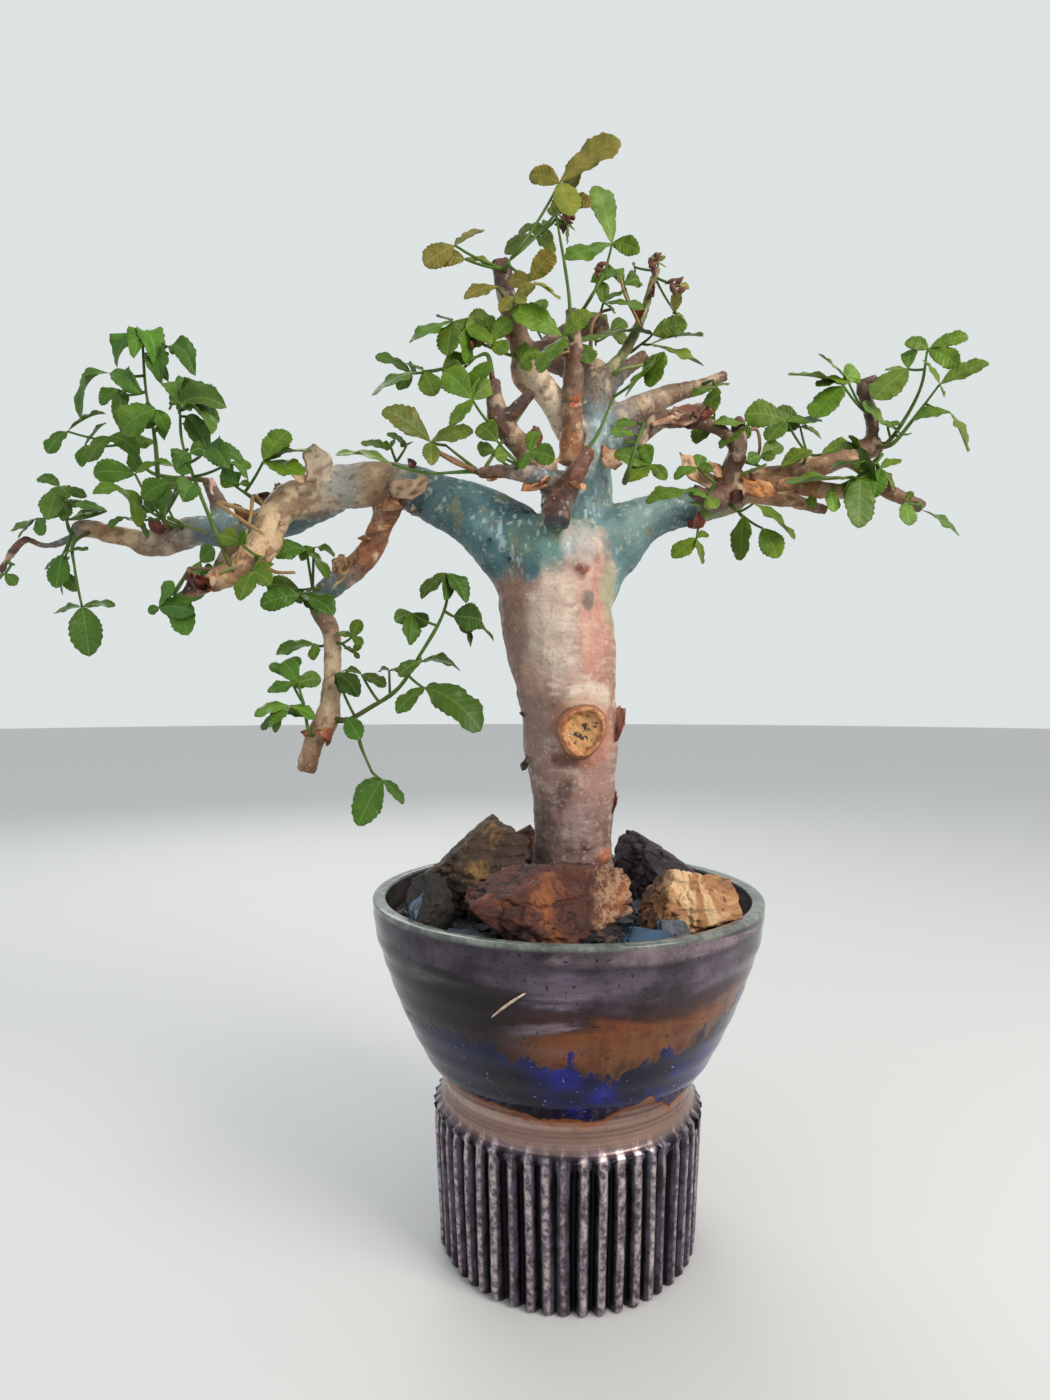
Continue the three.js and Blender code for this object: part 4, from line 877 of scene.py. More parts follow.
# %% Centre lines and radii
LIMBS = {
    "trunk": [
        (3, 0, 150, 23), (3, 0, 189, 21), (3, 0, 232, 22), (2, 0, 260, 24), (-1, 0, 285, 26),
        (-5, 0, 320, 28), (-6, 0, 345, 31), (-5, 0, 366, 30)],
    "left_bough": [
        (-8, 0, 325, 20), (-24, -2, 352, 21), (-46, -3, 371, 16.5), (-66, -4, 380, 13.5),
        (-87, -4, 388, 11), (-112, -6, 386, 11), (-129, -8, 384, 11)],
    "left_front_fork": [
        (-122, -8, 384, 9), (-145, -14, 375, 8), (-154, -20, 353, 7.5), (-163, -28, 341, 6),
        (-176, -32, 333, 4.2)],
    "left_back_fork": [
        (-121, -4, 383, 9), (-146, 4, 373, 8.5), (-182, 14, 367, 8), (-200, 18, 369, 7.5),
        (-229, 24, 363, 7), (-243, 26, 367, 5), (-267, 28, 372, 4.5), (-274, 30, 370, 3.5)],
    "left_end_twig": [
        (-270, 29, 370, 2.4), (-291, 32, 363, 1.4), (-306, 33, 366, 1.1), (-320, 34, 348, 0.8)],
    "left_stub": [(-174, 12, 366, 4), (-179, 8, 353, 5), (-186, 6, 343, 3)],
    "left_up_stub": [(-186, 16, 367, 5), (-189, 18, 382, 4.5), (-196, 20, 397, 3)],
    "hanging_branch": [
        (-91, -6, 382, 7), (-96, -8, 366, 6), (-102, -6, 354, 6), (-112, -2, 344, 6), (-124, 2, 336, 5.5),
        (-132, 6, 328, 5), (-126, 9, 312, 4.5), (-125, 9, 295, 4.5), (-126, 8, 279, 5), (-128, 6, 266, 6),
        (-134, 3, 254, 5), (-137, 0, 238, 5)],
    "right_bough": [
        (2, 0, 330, 20), (18, 2, 354, 19), (38, 3, 370, 12.5), (53, 4, 376, 10), (67, 5, 378, 8),
        (86, 8, 383, 7.5), (96, 10, 390, 7.5), (126, 14, 399, 6.5), (148, 17, 407, 5.8),
        (172, 20, 417, 5.5)],
    "right_snag": [(168, 20, 414, 3.6), (168, 18, 430, 3), (162, 18, 447, 2.8), (170, 16, 451, 2.2)],
    "right_low_fork": [(100, 8, 388, 5), (119, 2, 389, 4.5), (134, -4, 385, 4), (148, -6, 383, 3.4)],
    "right_lower_twig": [(99, 10, 387, 4.6), (123, 14, 384, 3.4), (142, 18, 380, 2.4)],
    "right_end_twig": [
        (152, 16, 407, 3.4), (158, 10, 401, 3.2), (168, 4, 388, 3.2), (178, 4, 383, 3), (190, 6, 379, 2.6)],
    "right_up_stub": [(78, 2, 385, 6), (85, -4, 395, 5), (88, -8, 408, 4), (88, -8, 421, 3)],
    "right_near_stub": [(94, 6, 388, 7), (73, -14, 377, 5), (62, -20, 381, 3)],
    "leader": [
        (-2, 0, 345, 26), (5, 2, 370, 19), (11, 3, 395, 13), (13, 4, 424, 11), (15, 6, 442, 9.8),
        (13, 8, 455, 7)],
    "crown_right": [
        (17, 6, 422, 8), (31, 10, 429, 7), (47, 14, 438, 6), (69, 20, 447, 3.6), (90, 26, 456, 2.6)],
    "crown_low_right": [
        (18, 0, 405, 7), (33, -5, 412, 6), (51, -8, 421, 4.6), (77, -10, 415, 3.2), (89, -12, 398, 2.6)],
    "crown_hang_twig": [(43, -10, 420, 2.4), (36, -16, 403, 2), (28, -20, 385, 1.8)],
    "crown_shoot_right": [
        (17, 8, 443, 4), (21, 12, 453, 3.2), (31, 16, 464, 3), (42, 20, 486, 2.4), (51, 24, 516, 1.6)],
    "left_snag": [
        (2, -6, 414, 8), (-7, -12, 426, 7), (-17, -17, 440, 6.2), (-24, -20, 453, 5.4),
        (-30, -22, 473, 4.6), (-34, -22, 494, 5)],
    "left_snag_back": [(-24, -18, 450, 4.6), (-24, -12, 442, 5), (-16, -8, 435, 6)],
    "dark_twig": [(-22, -20, 451, 3.4), (-9, -22, 452, 3.2), (3, -20, 453, 3)],
    "back_knob": [
        (12, 8, 449, 7), (3, 14, 456, 6.5), (-9, 22, 467, 7), (6, 34, 485, 6), (24, 38, 491, 4.5)],
    "back_branch": [(13, 10, 423, 8), (10, 30, 449, 6.5), (2, 48, 472, 5), (-15, 60, 488, 3.6)],
    "back_right_branch": [(15, 14, 435, 6.5), (28, 34, 457, 5), (47, 50, 477, 3.4)],
    "lower_left_stub": [(-12, -14, 392, 8), (-23, -28, 399, 5.6), (-35, -34, 412, 5), (-38, -36, 430, 3.4)],
    "lower_left_twig": [(-33, -34, 409, 3.4), (-26, -38, 416, 2.8), (-18, -40, 423, 2.2)],
    "front_knob": [(-5, -16, 384, 9), (-7, -32, 370, 7), (-7, -38, 360, 6)],
    "front_knob_twig": [(-3, -30, 376, 5.5), (2, -34, 385, 4.5), (9, -36, 397, 3)],
    "front_upright": [(1, -14, 396, 6), (2, -18, 424, 5), (3, -20, 453, 4), (1, -22, 471, 2.6)],
    "shoulder_twig": [(-4, -20, 383, 6), (-24, -34, 386, 3.6), (-44, -38, 385, 2.6)],
    "cut_stub": [(7, -14, 262, 12), (5, -36, 262, 10.5)],
}

# %% [markdown]
# ## The tree: one skin of wood
#
# Wood has no seams where a limb leaves the trunk: the grain flows over a collar. Tubes alone would show
# hard creases, and skin modifiers lose the measured radii. So each limb is swept as a tube, and a voxel
# remesh melts them into one skin, as if the wood had grown together; a little smoothing rounds the collars.

# %% Sweep the limbs
VOXEL_MM = 1.15
RING_EVERY_MM = 3
THINNEST_MM = 1.5  # a thinner tube would be lost between the voxels
SKIN_LOSS_MM = 0.25  # what the smoothing takes off


def limb_rings(line, seed):
    """Smooth line of (x, y, z, r), a ring every 3 mm; the radius swells and the line wanders by chance."""
    line = np.array(line, float)
    length = np.linalg.norm(np.diff(line[:, :3], axis=0), axis=1).sum()
    path = smooth_line(line, max(int(length / RING_EVERY_MM), 6))
    away = np.linspace(0, 1, len(path))[:, None] ** 0.5
    wander = np.stack([noise(path[:, :3], 17, seed + k) for k in range(3)], 1)
    path[:, :3] += wander * np.minimum(path[:, 3:], 6) * 0.16 * away
    path[:, 3] *= 1 + 0.09 * noise(path[:, :3], 13, seed + 5)
    return path


paths = {name: limb_rings(line, i) for i, (name, line) in enumerate(LIMBS.items())}
wood = make_object("living_wood", *joined([
    swept_tube(path[:, :3], np.maximum(path[:, 3:], THINNEST_MM) + SKIN_LOSS_MM, 20)
    for path in paths.values()]))
print("limbs:", len(paths), "rings:", sum(map(len, paths.values())))

# %% Melt the tubes into one skin
def apply_modifiers(piece):
    """Replace the mesh by what its modifiers make of it."""
    shown = piece.evaluated_get(bpy.context.evaluated_depsgraph_get())
    mesh = bpy.data.meshes.new_from_object(shown)
    piece.modifiers.clear()
    piece.data = mesh


def vertex_array(piece, key="co"):
    """Places in mm, or normals, of all vertices as (n, 3)."""
    values = np.empty(len(piece.data.vertices) * 3, np.float32)
    source = piece.data.vertices if key == "co" else piece.data.vertex_normals
    source.foreach_get("co" if key == "co" else "vector", values)
    return values.reshape(-1, 3).astype(float) / (MM if key == "co" else 1)


def put_vertices(piece, points):
    """Move every vertex to its place in mm."""
    piece.data.vertices.foreach_set("co", (points * MM).astype(np.float32).ravel())
    piece.data.update()


remesh = wood.modifiers.new("grow_together", "REMESH")
remesh.mode = "VOXEL"
remesh.voxel_size = VOXEL_MM * MM
soften = wood.modifiers.new("round_collars", "SMOOTH")
soften.factor = 0.5
soften.iterations = 5
apply_modifiers(wood)
print("skin:", len(wood.data.polygons), "faces")

# %% [markdown]
# ## The tree: where each point of the skin belongs
#
# Colour and relief follow the limb: the hanging branch is brown above and cream below, the boughs turn
# from blue-green to tan. So each vertex gathers from the centre-line samples near its own surface: how far
# out along the limb it is, the limb's radius there, and the tone of the bark.

# %% Tones along the limbs
BLUE, PINK, TAN, CREAM = "#5f8388", "#9d7a6c", "#9f7a4e", "#c9b092"
BROWN, DARK, RUST, GREY = "#6b4a36", "#43302a", "#a4683c", "#6f7f86"
TONES = {
    "trunk": [(0, "#7c6058"), (0.3, PINK), (0.68, "#b89a8c"), (0.84, BLUE), (1, BLUE)],
    "left_bough": [(0, BLUE), (0.42, BLUE), (0.6, "#7d8f8a"), (0.74, TAN), (0.9, "#8fa0a2"), (1, CREAM)],
    "left_front_fork": [(0, CREAM), (0.5, "#c9ab84"), (0.8, TAN), (1, BROWN)],
    "left_back_fork": [(0, GREY), (0.35, GREY), (0.6, "#9a8264"), (0.8, TAN), (1, GREY)],
    "left_end_twig": [(0, GREY), (0.5, BROWN), (1, DARK)],
    "left_stub": [(0, TAN), (1, DARK)],
    "left_up_stub": [(0, GREY), (1, BROWN)],
    "hanging_branch": [(0, BROWN), (0.2, RUST), (0.34, GREY), (0.5, BROWN), (0.62, CREAM),
                       (0.86, "#a88a68"), (1, BROWN)],
    "right_bough": [(0, BLUE), (0.34, BLUE), (0.5, "#78835c"), (0.64, TAN), (1, BROWN)],
    "right_snag": [(0, DARK), (1, DARK)],
    "right_low_fork": [(0, RUST), (1, TAN)],
    "right_lower_twig": [(0, TAN), (1, BROWN)],
    "right_end_twig": [(0, TAN), (1, BROWN)],
    "right_up_stub": [(0, BROWN), (1, DARK)],
    "right_near_stub": [(0, BROWN), (1, DARK)],
    "leader": [(0, BLUE), (0.3, "#86a0a4"), (0.6, "#8a9ba4"), (0.72, "#857a6e"), (0.82, "#5b463a"),
               (1, "#4a3228")],
    "crown_right": [(0, GREY), (0.4, "#9b8570"), (1, BROWN)],
    "crown_low_right": [(0, GREY), (0.5, BROWN), (1, DARK)],
    "crown_hang_twig": [(0, DARK), (1, DARK)],
    "crown_shoot_right": [(0, "#6d7a52"), (1, "#6b7a42")],
    "left_snag": [(0, "#ddd0bc"), (0.45, "#d2bc9e"), (0.62, "#8a6a50"), (0.75, DARK), (1, DARK)],
    "left_snag_back": [(0, BROWN), (1, RUST)],
    "dark_twig": [(0, "#4a2a22"), (1, "#3a201c")],
    "back_knob": [(0, BROWN), (1, DARK)],
    "back_branch": [(0, GREY), (1, BROWN)],
    "back_right_branch": [(0, GREY), (1, BROWN)],
    "lower_left_stub": [(0, CREAM), (0.5, BROWN), (1, DARK)],
    "lower_left_twig": [(0, DARK), (1, DARK)],
    "front_knob": [(0, BROWN), (1, DARK)],
    "front_knob_twig": [(0, BROWN), (1, DARK)],
    "front_upright": [(0, RUST), (0.4, BROWN), (1, DARK)],
    "shoulder_twig": [(0, GREY), (1, BROWN)],
    "cut_stub": [(0, PINK), (1, RUST)],
}


def tone_at(stops, share):
    """Linear colour at a share of the limb: straight lines between the named tones."""
    places = [place for place, colour in stops]
    shades = np.array([rgb(colour) for place, colour in stops])
    return np.stack([np.interp(share, places, shades[:, k]) for k in range(3)], -1)


tones, ends = [], []
for name, path in paths.items():
    share = np.linspace(0, 1, len(path))
    length = np.linalg.norm(np.diff(path[:, :3], axis=0), axis=1).sum()
    tones.append(tone_at(TONES[name], share))
    ends.append((1 - share) * length)
samples, tones, ends = (np.concatenate(rows) for rows in (list(paths.values()), tones, ends))


BLEND_MM = 2.2  # over how many mm one limb's tone fades into the next
BATCH = 4000  # vertices worked on at a time, to spare memory


def gather(points):
    """Tone, radius and distance to the limb's tip, weighted by how near each sample's surface is."""
    out = np.empty((len(points), 5))
    for part in np.array_split(np.arange(len(points)), max(len(points) // BATCH, 1)):
        away = np.linalg.norm(points[part, None] - samples[None, :, :3], axis=2)
        depth = np.abs(away - samples[None, :, 3]) + 0.25 * away
        weight = np.exp(-((depth - depth.min(1, keepdims=True)) / BLEND_MM))
        weight /= weight.sum(1, keepdims=True)
        out[part, :3] = weight @ tones
        out[part, 3] = weight @ samples[:, 3]
        out[part, 4] = weight @ ends
    return out[:, :3], out[:, 3], out[:, 4]


skin = vertex_array(wood)
tone, girth, to_tip = gather(skin)
print("girth from", girth.min().round(1), "to", girth.max().round(1), "mm")

# %% [markdown]
# ## The tree: bark relief
#
# On the trunk the papery bark wrinkles in fine level rings, with scars and small warts. On the thin wood
# it is knobbly, and where a twig died back the end is frayed. Each is noise of its own size, pushed along
# the vertex normals, and only where that kind of bark is.

# %% Relief
# Warts and ring scars on the front of the trunk: x, z, radius and rise in mm.
WARTS = [
    (9.4, 204, 3.2, 1.6), (17.7, 197, 4.2, 1.8), (-39.6, 356, 2.8, 1.1), (-29.4, 346.6, 2.8, 1.1),
    (6, 341, 3.4, 0.9), (9, 326, 4.5, 0.9), (-14, 300, 2.4, 0.6), (-3, 224, 2.6, 0.7),
]
normals = vertex_array(wood, "normal")
squashed = skin * [1, 1, 4.5]
old_bark = 1 - smooth_step(330, 360, skin[:, 2] + 6 * noise(skin, 20, 31))
old_bark *= smooth_step(60, 40, np.abs(skin[:, 0]))
knobs = rough(skin, 9, 3, seed=41)
plates = smooth_step(0.15, 0.22, rough(skin * [1, 1, 0.7], 15, 4, seed=43))
frayed = smooth_step(9, 0, to_tip) * smooth_step(9, 4, girth)
wart_cells = np.clip(noise(skin, 6.5, 47) - 0.55, 0, 1) * 3.2
relief = 0.42 * knobs * smooth_step(2, 7, girth) + 0.25 * (1 - 0.6 * old_bark) * rough(skin, 3, 2, 44)
relief += old_bark * (0.10 * rough(squashed, 9, 3, seed=45) + 0.28 * plates)
relief += (0.25 + 0.2 * old_bark) * wart_cells
relief += frayed * 0.9 * rough(skin, 2.6, 2, seed=46)
swellings = smooth_step(0.2, 0.3, rough(skin, 11, 3, seed=49)) * smooth_step(20, 9, girth)
relief += 0.5 * (1 - old_bark) * swellings
facing_front = smooth_step(-0.1, 0.3, -normals[:, 1])
for at_x, at_z, size, rise in WARTS:
    away = np.hypot(skin[:, 0] - at_x, skin[:, 2] - at_z) / size
    relief += rise * facing_front * smooth_step(1.3, 0.5, away)
    relief -= 0.8 * rise * facing_front * smooth_step(0.45, 0.2, away) * (size < 3)
put_vertices(wood, skin + normals * relief[:, None])

# %% [markdown]
# ## The tree: bark colours
#
# The tones gathered from the limbs are only the start. The trunk's skin turns from pink-tan to blue-green
# along a ragged line, with a pink tongue in front; dark scabs and pale scars lie across it. The trunk is
# darker towards its base. Some of the colour is painted light: painted shade under the blue-green bark,
# partly on the left of the pink front, and a few painted patches of light and shade on the front.

# %% Colours
def shade(base, amount, colour):
    """Blend towards a colour by an amount for each vertex."""
    return base + np.clip(amount, 0, 1)[:, None] * (rgb(colour) - base)


x, y, z = skin.T
wide = rough(skin, 22, 4, seed=51)
flake = rough(skin, 7, 3, seed=52)
fleck = rough(skin, 2.4, 2, seed=53)
streak = rough(skin * [1, 1, 3.5], 8, 3, seed=54)
in_trunk = smooth_step(60, 34, np.abs(x + 3)) * smooth_step(380, 362, z)
front = smooth_step(4, -14, y)
tongue = 18 * smooth_step(26, 4, np.abs(x - 14)) * front
line = 338 + tongue + 10 * wide + 6 * flake - 26 * smooth_step(14, 30, x)
pink = smooth_step(line + 5, line - 5, z) * in_trunk
pale = smooth_step(-0.1, 0.5, wide + 0.5 * streak) * smooth_step(225, 290, z)
blue = in_trunk * (1 - pink) + (1 - in_trunk) * smooth_step(0.02, -0.02, tone[:, 0] - tone[:, 2])
bare = 1 - np.clip(blue + pink, 0, 1)
# Coats of colour from the first to the last: how much of each is laid on, and its tone.
COATS = [
    (in_trunk * (1 - pink) * smooth_step(20, 24, girth), BLUE),
    (pink, PINK),
    (pink * pale * 0.7, "#bda394"),
    (pink * smooth_step(0.25, 0.6, streak) * 0.45, "#d9c8b8"),
    (pink * smooth_step(0.3, 0.55, -wide + 0.4 * flake) * 0.35, "#8d5f52"),
    # The left of the pink front turns a greyer brown: partly the bark's own colour, partly painted shade on
    # the side away from the key light.
    (pink * smooth_step(-8, -24, x + 4 * flake) * 0.6, "#6f5a54"),
    # These two coats darken the pink bark towards the base.
    (pink * smooth_step(245, 205, z + 6 * flake) * 0.65, "#765a57"),
    (pink * smooth_step(205, 170, z + 7 * flake) * 0.7, "#463433"),
    (pink * smooth_step(0.82, 0.98, np.abs(flake)) * 0.5, "#5a3c34"),
    (pink * smooth_step(0.62, 0.85, fleck) * 0.35, "#e6d9cb"),
    (blue * smooth_step(0.1, 0.5, wide) * 0.55, "#8aa6a0"),
    (blue * smooth_step(0.1, 0.5, -wide) * 0.6, "#33565c"),
    (blue * smooth_step(0.5, 0.8, fleck + 0.3 * flake) * 0.8, "#c3c9b8"),
    (blue * smooth_step(0.5, 0.7, flake) * 0.6, "#8e8a62"),
    (bare * smooth_step(0.15, 0.35, flake + 0.3 * wide) * 0.6, "#6d4c34"),
    (bare * smooth_step(0.3, 0.6, -flake) * 0.5, "#cdb392"),
    (bare * smooth_step(0.45, 0.7, fleck) * 0.55, "#33241e"),
    (frayed * 0.7, "#5a3c2a"),
    (wart_cells * 0.5, "#5c4136"),
]
colour = tone
for amount, paint in COATS:
    colour = shade(colour, amount, paint)

# Patches on the front of the trunk: x, z, half width, half height in mm, colour and strength. Their edges are
# torn by noise, as where one papery layer has come off another. A few are painted light: a painted highlight
# above the sawn stub, a dark band below it that is partly a painted shadow, and painted shade where the
# boughs leave the trunk.
DABS = [
    (-7, 311, 14, 28, "#c3b3a2", 0.65), (14, 312, 10, 30, "#c48c7a", 0.55),
    # (9, 278) is pale cream above the sawn stub: a painted highlight.
    (21, 328, 5, 18, "#8f9a78", 0.7), (-27, 310, 6, 35, "#8d6a58", 0.6), (9, 278, 11, 7, "#d9cab6", 0.75),
    # (-2, 246) is the dark band just under the sawn stub: partly the bark's own red-brown, partly a painted
    # shadow.
    (-13, 268, 10, 16, "#8a7064", 0.7), (-2, 246, 9, 4.5, "#6b3a28", 0.85),
    (-2, 231, 4, 8, "#2a2426", 0.45), (13, 236, 8, 14, "#a98078", 0.6), (9, 326, 3, 5.5, "#5d5f5c", 0.8),
    (6, 341, 3, 2.6, "#6b2f22", 0.85), (17.7, 197, 4, 4, "#b5683a", 0.8), (-7, 356, 22, 12, "#6f8f72", 0.4),
    (6, 354, 11, 10, "#b3a8a2", 0.7), (-39.6, 356, 1.4, 1.4, "#33302c", 0.9),
    (-29.4, 346.6, 1.4, 1.4, "#33302c", 0.9), (16, 256, 6, 9, "#c98f80", 0.6),
    (-18, 290, 5, 10, "#b58e7c", 0.5), (4, 214, 8, 12, "#a08a86", 0.5), (-14, 205, 7, 22, "#4f3f40", 0.55),
    # (-22, 372) and (26, 352) are dark teal where the two boughs leave the trunk: painted shade.
    (5, 261, 13, 15, "#a5694a", 0.5), (-22, 372, 14, 6, "#2f565e", 0.5), (26, 352, 12, 6, "#3e6a6a", 0.4),
    (40, 372, 12, 7, "#9ab0ae", 0.45),
]
torn = 0.45 * rough(skin * [1, 1, 0.7], 9, 4, seed=61)
for at_x, at_z, half_width, half_height, dab, strength in DABS:
    away = np.hypot((x - at_x) / half_width, (z - at_z) / half_height) + torn
    colour = shade(colour, strength * front * smooth_step(1.3, 0.75, away), dab)
knob = smooth_step(-34, -39, y) * smooth_step(336, 346, z) * smooth_step(20, 14, np.abs(x))
colour = shade(colour, knob * 0.85, "#6b4030")
colour = shade(colour, knob * smooth_step(0.1, 0.5, flake) * 0.8, "#2e1a14")
dashes = rough(skin * [1, 1, 0.28], 1.7, 2, seed=62)
colour = shade(colour, blue * smooth_step(0.62, 0.82, dashes) * 0.7, "#b4cdd4")
# Where the blue-green bark faces down it is darkened to deep teal: painted shade under the boughs and limbs.
painted_underside_shade = blue * smooth_step(0.1, -0.7, normals[:, 2]) * (1 - pink)
colour = shade(colour, painted_underside_shade * 0.55, "#1f4850")
# The trunk is made up to 14% darker towards its base, below 330 mm.
colour = colour * (1 - 0.14 * in_trunk * smooth_step(330, 250, z))[:, None]
set_attribute(wood, "bark", np.clip(colour, 0, 1))
set_attribute(wood, "old", old_bark)


def bark():
    """Living bark: thin matt skin, its colour painted from the vertices, fine rings where it is old."""
    material, tree = new_material("living bark")
    place = add(tree, "place")
    rings = add(tree, "grain", add(tree, "stretch", place, (90, 90, 620)), 1.0, 4, 0.6)
    fine = add(tree, "grain", place, 620, 5, 0.65)
    soft = add(tree, "grain", place, 120, 4, 0.6)
    painted = add(tree, "vertex", output="Color", attribute_name="bark")
    dots = add(tree, "span", add(tree, "cells", place, 260.0), 0.22, 0.10)
    colour = add(tree, "mix", 0.55, painted,
                 add(tree, "ramp", fine,
                     stops=[(0.25, "#a29a92"), (0.5, "#ffffff"), (0.75, "#fff8ee")]), blend_type="MULTIPLY")
    colour = add(tree, "mix", add(tree, "times", dots, 0.33), colour, linear("#c9c4ae"))
    old = add(tree, "vertex", attribute_name="old")
    lines = add(tree, "times", add(tree, "span", rings, 0.44, 0.32), add(tree, "times", old, 0.12))
    colour = add(tree, "mix", lines, colour, linear("#54403a"))
    height = add(tree, "plus", add(tree, "times", fine, 0.5),
                 add(tree, "plus", add(tree, "times", add(tree, "times", rings, old), 0.3),
                     add(tree, "times", dots, 0.4)))
    finish(tree, colour, add(tree, "span", soft, 0.3, 0.7, 0.5, 0.75), height, 0.45)
    return material


living_bark = bark()
declare(wood, ["tree"], living_bark)

# %% [markdown]
# ## The tree: the sawn stub
#
# Low on the trunk's front a branch was sawn off long ago. New bark has rolled in over the cut as a raised
# ring, and the cut face inside it is rough, tan and pitted. The face is one disc whose height is a function
# of the distance from its middle: a hollow, then the ring, then down to the bark.

# %% Sawn stub
STUB_X, STUB_Z, STUB_FRONT = 5.5, 261, -38.0
STUB_HALF_WIDTH, STUB_HALF_HEIGHT = 11.5, 14
STUB_POINTS = 72


def sawn_face():
    """Height(r) on an ellipse: a 2.8 mm ring at r = 0.8, less 4.5 mm past 0.86, plus noise."""
    angle = np.linspace(0, 2 * np.pi, STUB_POINTS, endpoint=False)[None, :]
    r = np.linspace(0.02, 1.0, 30)[:, None]
    wobble = 1 + 0.07 * np.sin(2 * angle + 0.7) + 0.05 * np.sin(3 * angle)
    x = STUB_X + STUB_HALF_WIDTH * r * wobble * np.cos(angle)
    z = STUB_Z + STUB_HALF_HEIGHT * r * wobble * np.sin(angle)
    flat = np.stack([x, 0 * x, z], -1)
    height = 2.8 * np.exp(-((r - 0.8) / 0.13) ** 2) - 4.5 * smooth_step(0.86, 1.0, r)
    height = height + (0.5 + 0.8 * smooth_step(0.5, 0.8, r)) * rough(flat, 3.6, 3, seed=71)
    front_side = np.stack([x, STUB_FRONT - height, z], -1)
    back = front_side[-1] * [1, 0, 1] + [0, -26, 0]
    middle = back * 0.03 + np.array([STUB_X, -26, STUB_Z]) * 0.97
    return np.concatenate([front_side, back[None], middle[None]])[::-1], r


rings, r = sawn_face()
points, faces = closed_tube(rings)
stub = make_object("sawn_stub_face", points, faces)
spread = np.concatenate([[1.0, 1.0], r[::-1, 0]])
ring_share = np.concatenate([np.repeat(spread, STUB_POINTS), [1.0, 0.0]])
knot = rough(points, 2.2, 3, seed=72)
base = np.tile(rgb("#b88a56"), (len(points), 1))
base = shade(base, smooth_step(0.2, 0.5, knot), "#7a5230")
base = shade(base, smooth_step(0.55, 0.8, knot + 0.2), "#2e1d16")
base = shade(base, smooth_step(0.62, 0.74, ring_share), "#9c5f3a")
base = shade(base, smooth_step(0.62, 0.74, ring_share) * smooth_step(0.1, 0.6, -knot), "#c08c5e")
base = shade(base, smooth_step(0.90, 1.0, ring_share) * 0.8, "#6b3f2c")
set_attribute(stub, "bark", np.clip(base, 0, 1))
set_attribute(stub, "old", 0 * ring_share)
declare(stub, ["tree"], living_bark)

# %% [markdown]
# ## The tree: peeling bark and dried leaves
#
# The bark comes away in papery sheets that stay fixed at one edge and curl. A sheet is a strip from its
# fixed edge to its free edge: its centre line bends away from the wood, its width narrows and its edges are
# torn. Dead leaves are the same strips, more tightly rolled, in dark red-brown. Each has a thickness, so it
# is a closed shell.

# %% Curled strips
def curled_strip(fixed, free, width, curl, thick, seed):
    """Centre(t) = fixed + along * sin(curl t)/curl + out * (1 - cos(curl t))/curl; width torn by noise."""
    fixed, free = np.array(fixed, float), np.array(free, float)
    length = np.linalg.norm(free - fixed)
    along = unit(free - fixed)
    to_front = np.array([0, -1.0, 0.15])
    out = unit(to_front - along * (to_front @ along))
    side = np.cross(out, along)
    t = np.linspace(0, 1, 15)[:, None]
    v = np.concatenate([np.linspace(-1, 1, 9), np.linspace(1, -1, 9)[1:-1]])[None, :]
    face = np.concatenate([np.full(9, -1.0), np.full(7, 1.0)])[None, :]
    face = face * (np.abs(v) < 0.99)
    bend = max(curl, 0.05)
    run = np.sin(bend * t * 1.4) / bend * length * 0.9
    rise = (1 - np.cos(bend * t * 1.4)) / bend * length * 0.75
    place = np.stack([t * 3 + 0 * v, np.sign(v) + 0 * t, 0 * t * v + seed], -1)
    torn = 1 + 0.35 * rough(place, 0.9, 3, seed=seed)
    half = 0.5 * width * (0.55 + 0.6 * np.sin(np.pi * (0.15 + 0.75 * t))) * torn * smooth_step(1.08, 0.72, t)
    cup = 0.22 * curl * width * (v**2) * t
    wrinkle = 0.5 * rough(np.stack([t * 12 + 0 * v, v * 3 + 0 * t, 0 * t * v + seed], -1), 2.5, 2, seed=seed)
    points = fixed + along * (run + 0 * v)[..., None] + side * (half * v)[..., None]
    points = points + out * (rise + cup + wrinkle + thick * 0.5 * face)[..., None]
    return points, t + 0 * v


def to_wood(place, reach=34.0):
    """The step that brings a place to the skin of the nearest limb, or none if it is too far off."""
    away = samples[:, :3] - np.array(place, float)
    gap = np.linalg.norm(away, axis=1) - samples[:, 3]
    k = np.argmin(np.abs(gap))
    if abs(gap[k]) > reach:
        return np.zeros(3)
    return unit(away[k]) * (gap[k] + 0.6)


def strips(name, table, thick, spots):
    """All strips of one kind in one mesh, each with its own colour, darker in torn spots and at its edge."""
    sheets, colours = [], []
    for seed, (fixed, free, width, tint, curl) in enumerate(table, 3):
        step = to_wood(fixed)
        grid, t = curled_strip(fixed + step, free + step, width, curl, thick, seed)
        sheets.append(closed_tube(grid))
        flat = grid.reshape(-1, 3)
        base = np.tile(rgb(tint), (len(flat), 1))
        base = shade(base, smooth_step(0.1, 0.6, rough(flat, 5, 3, seed=81)) * 0.65, spots[0])
        base = shade(base, smooth_step(0.3, 0.6, rough(flat, 2.6, 3, seed=82)) * 0.75, spots[1])
        base = shade(base, smooth_step(0.75, 1.0, t.ravel()) * 0.4, spots[1])
        base = shade(base, smooth_step(0.1, 0.6, -rough(flat, 6, 2, seed=83)) * 0.45, spots[2])
        colours.append(np.concatenate([base, base[:1], base[-1:]]))
    points, faces = joined(sheets)
    piece = make_object(name, points, faces)
    set_attribute(piece, "bark", np.clip(np.concatenate(colours), 0, 1))
    set_attribute(piece, "old", np.zeros(len(points)))
    declare(piece, ["tree"], living_bark)


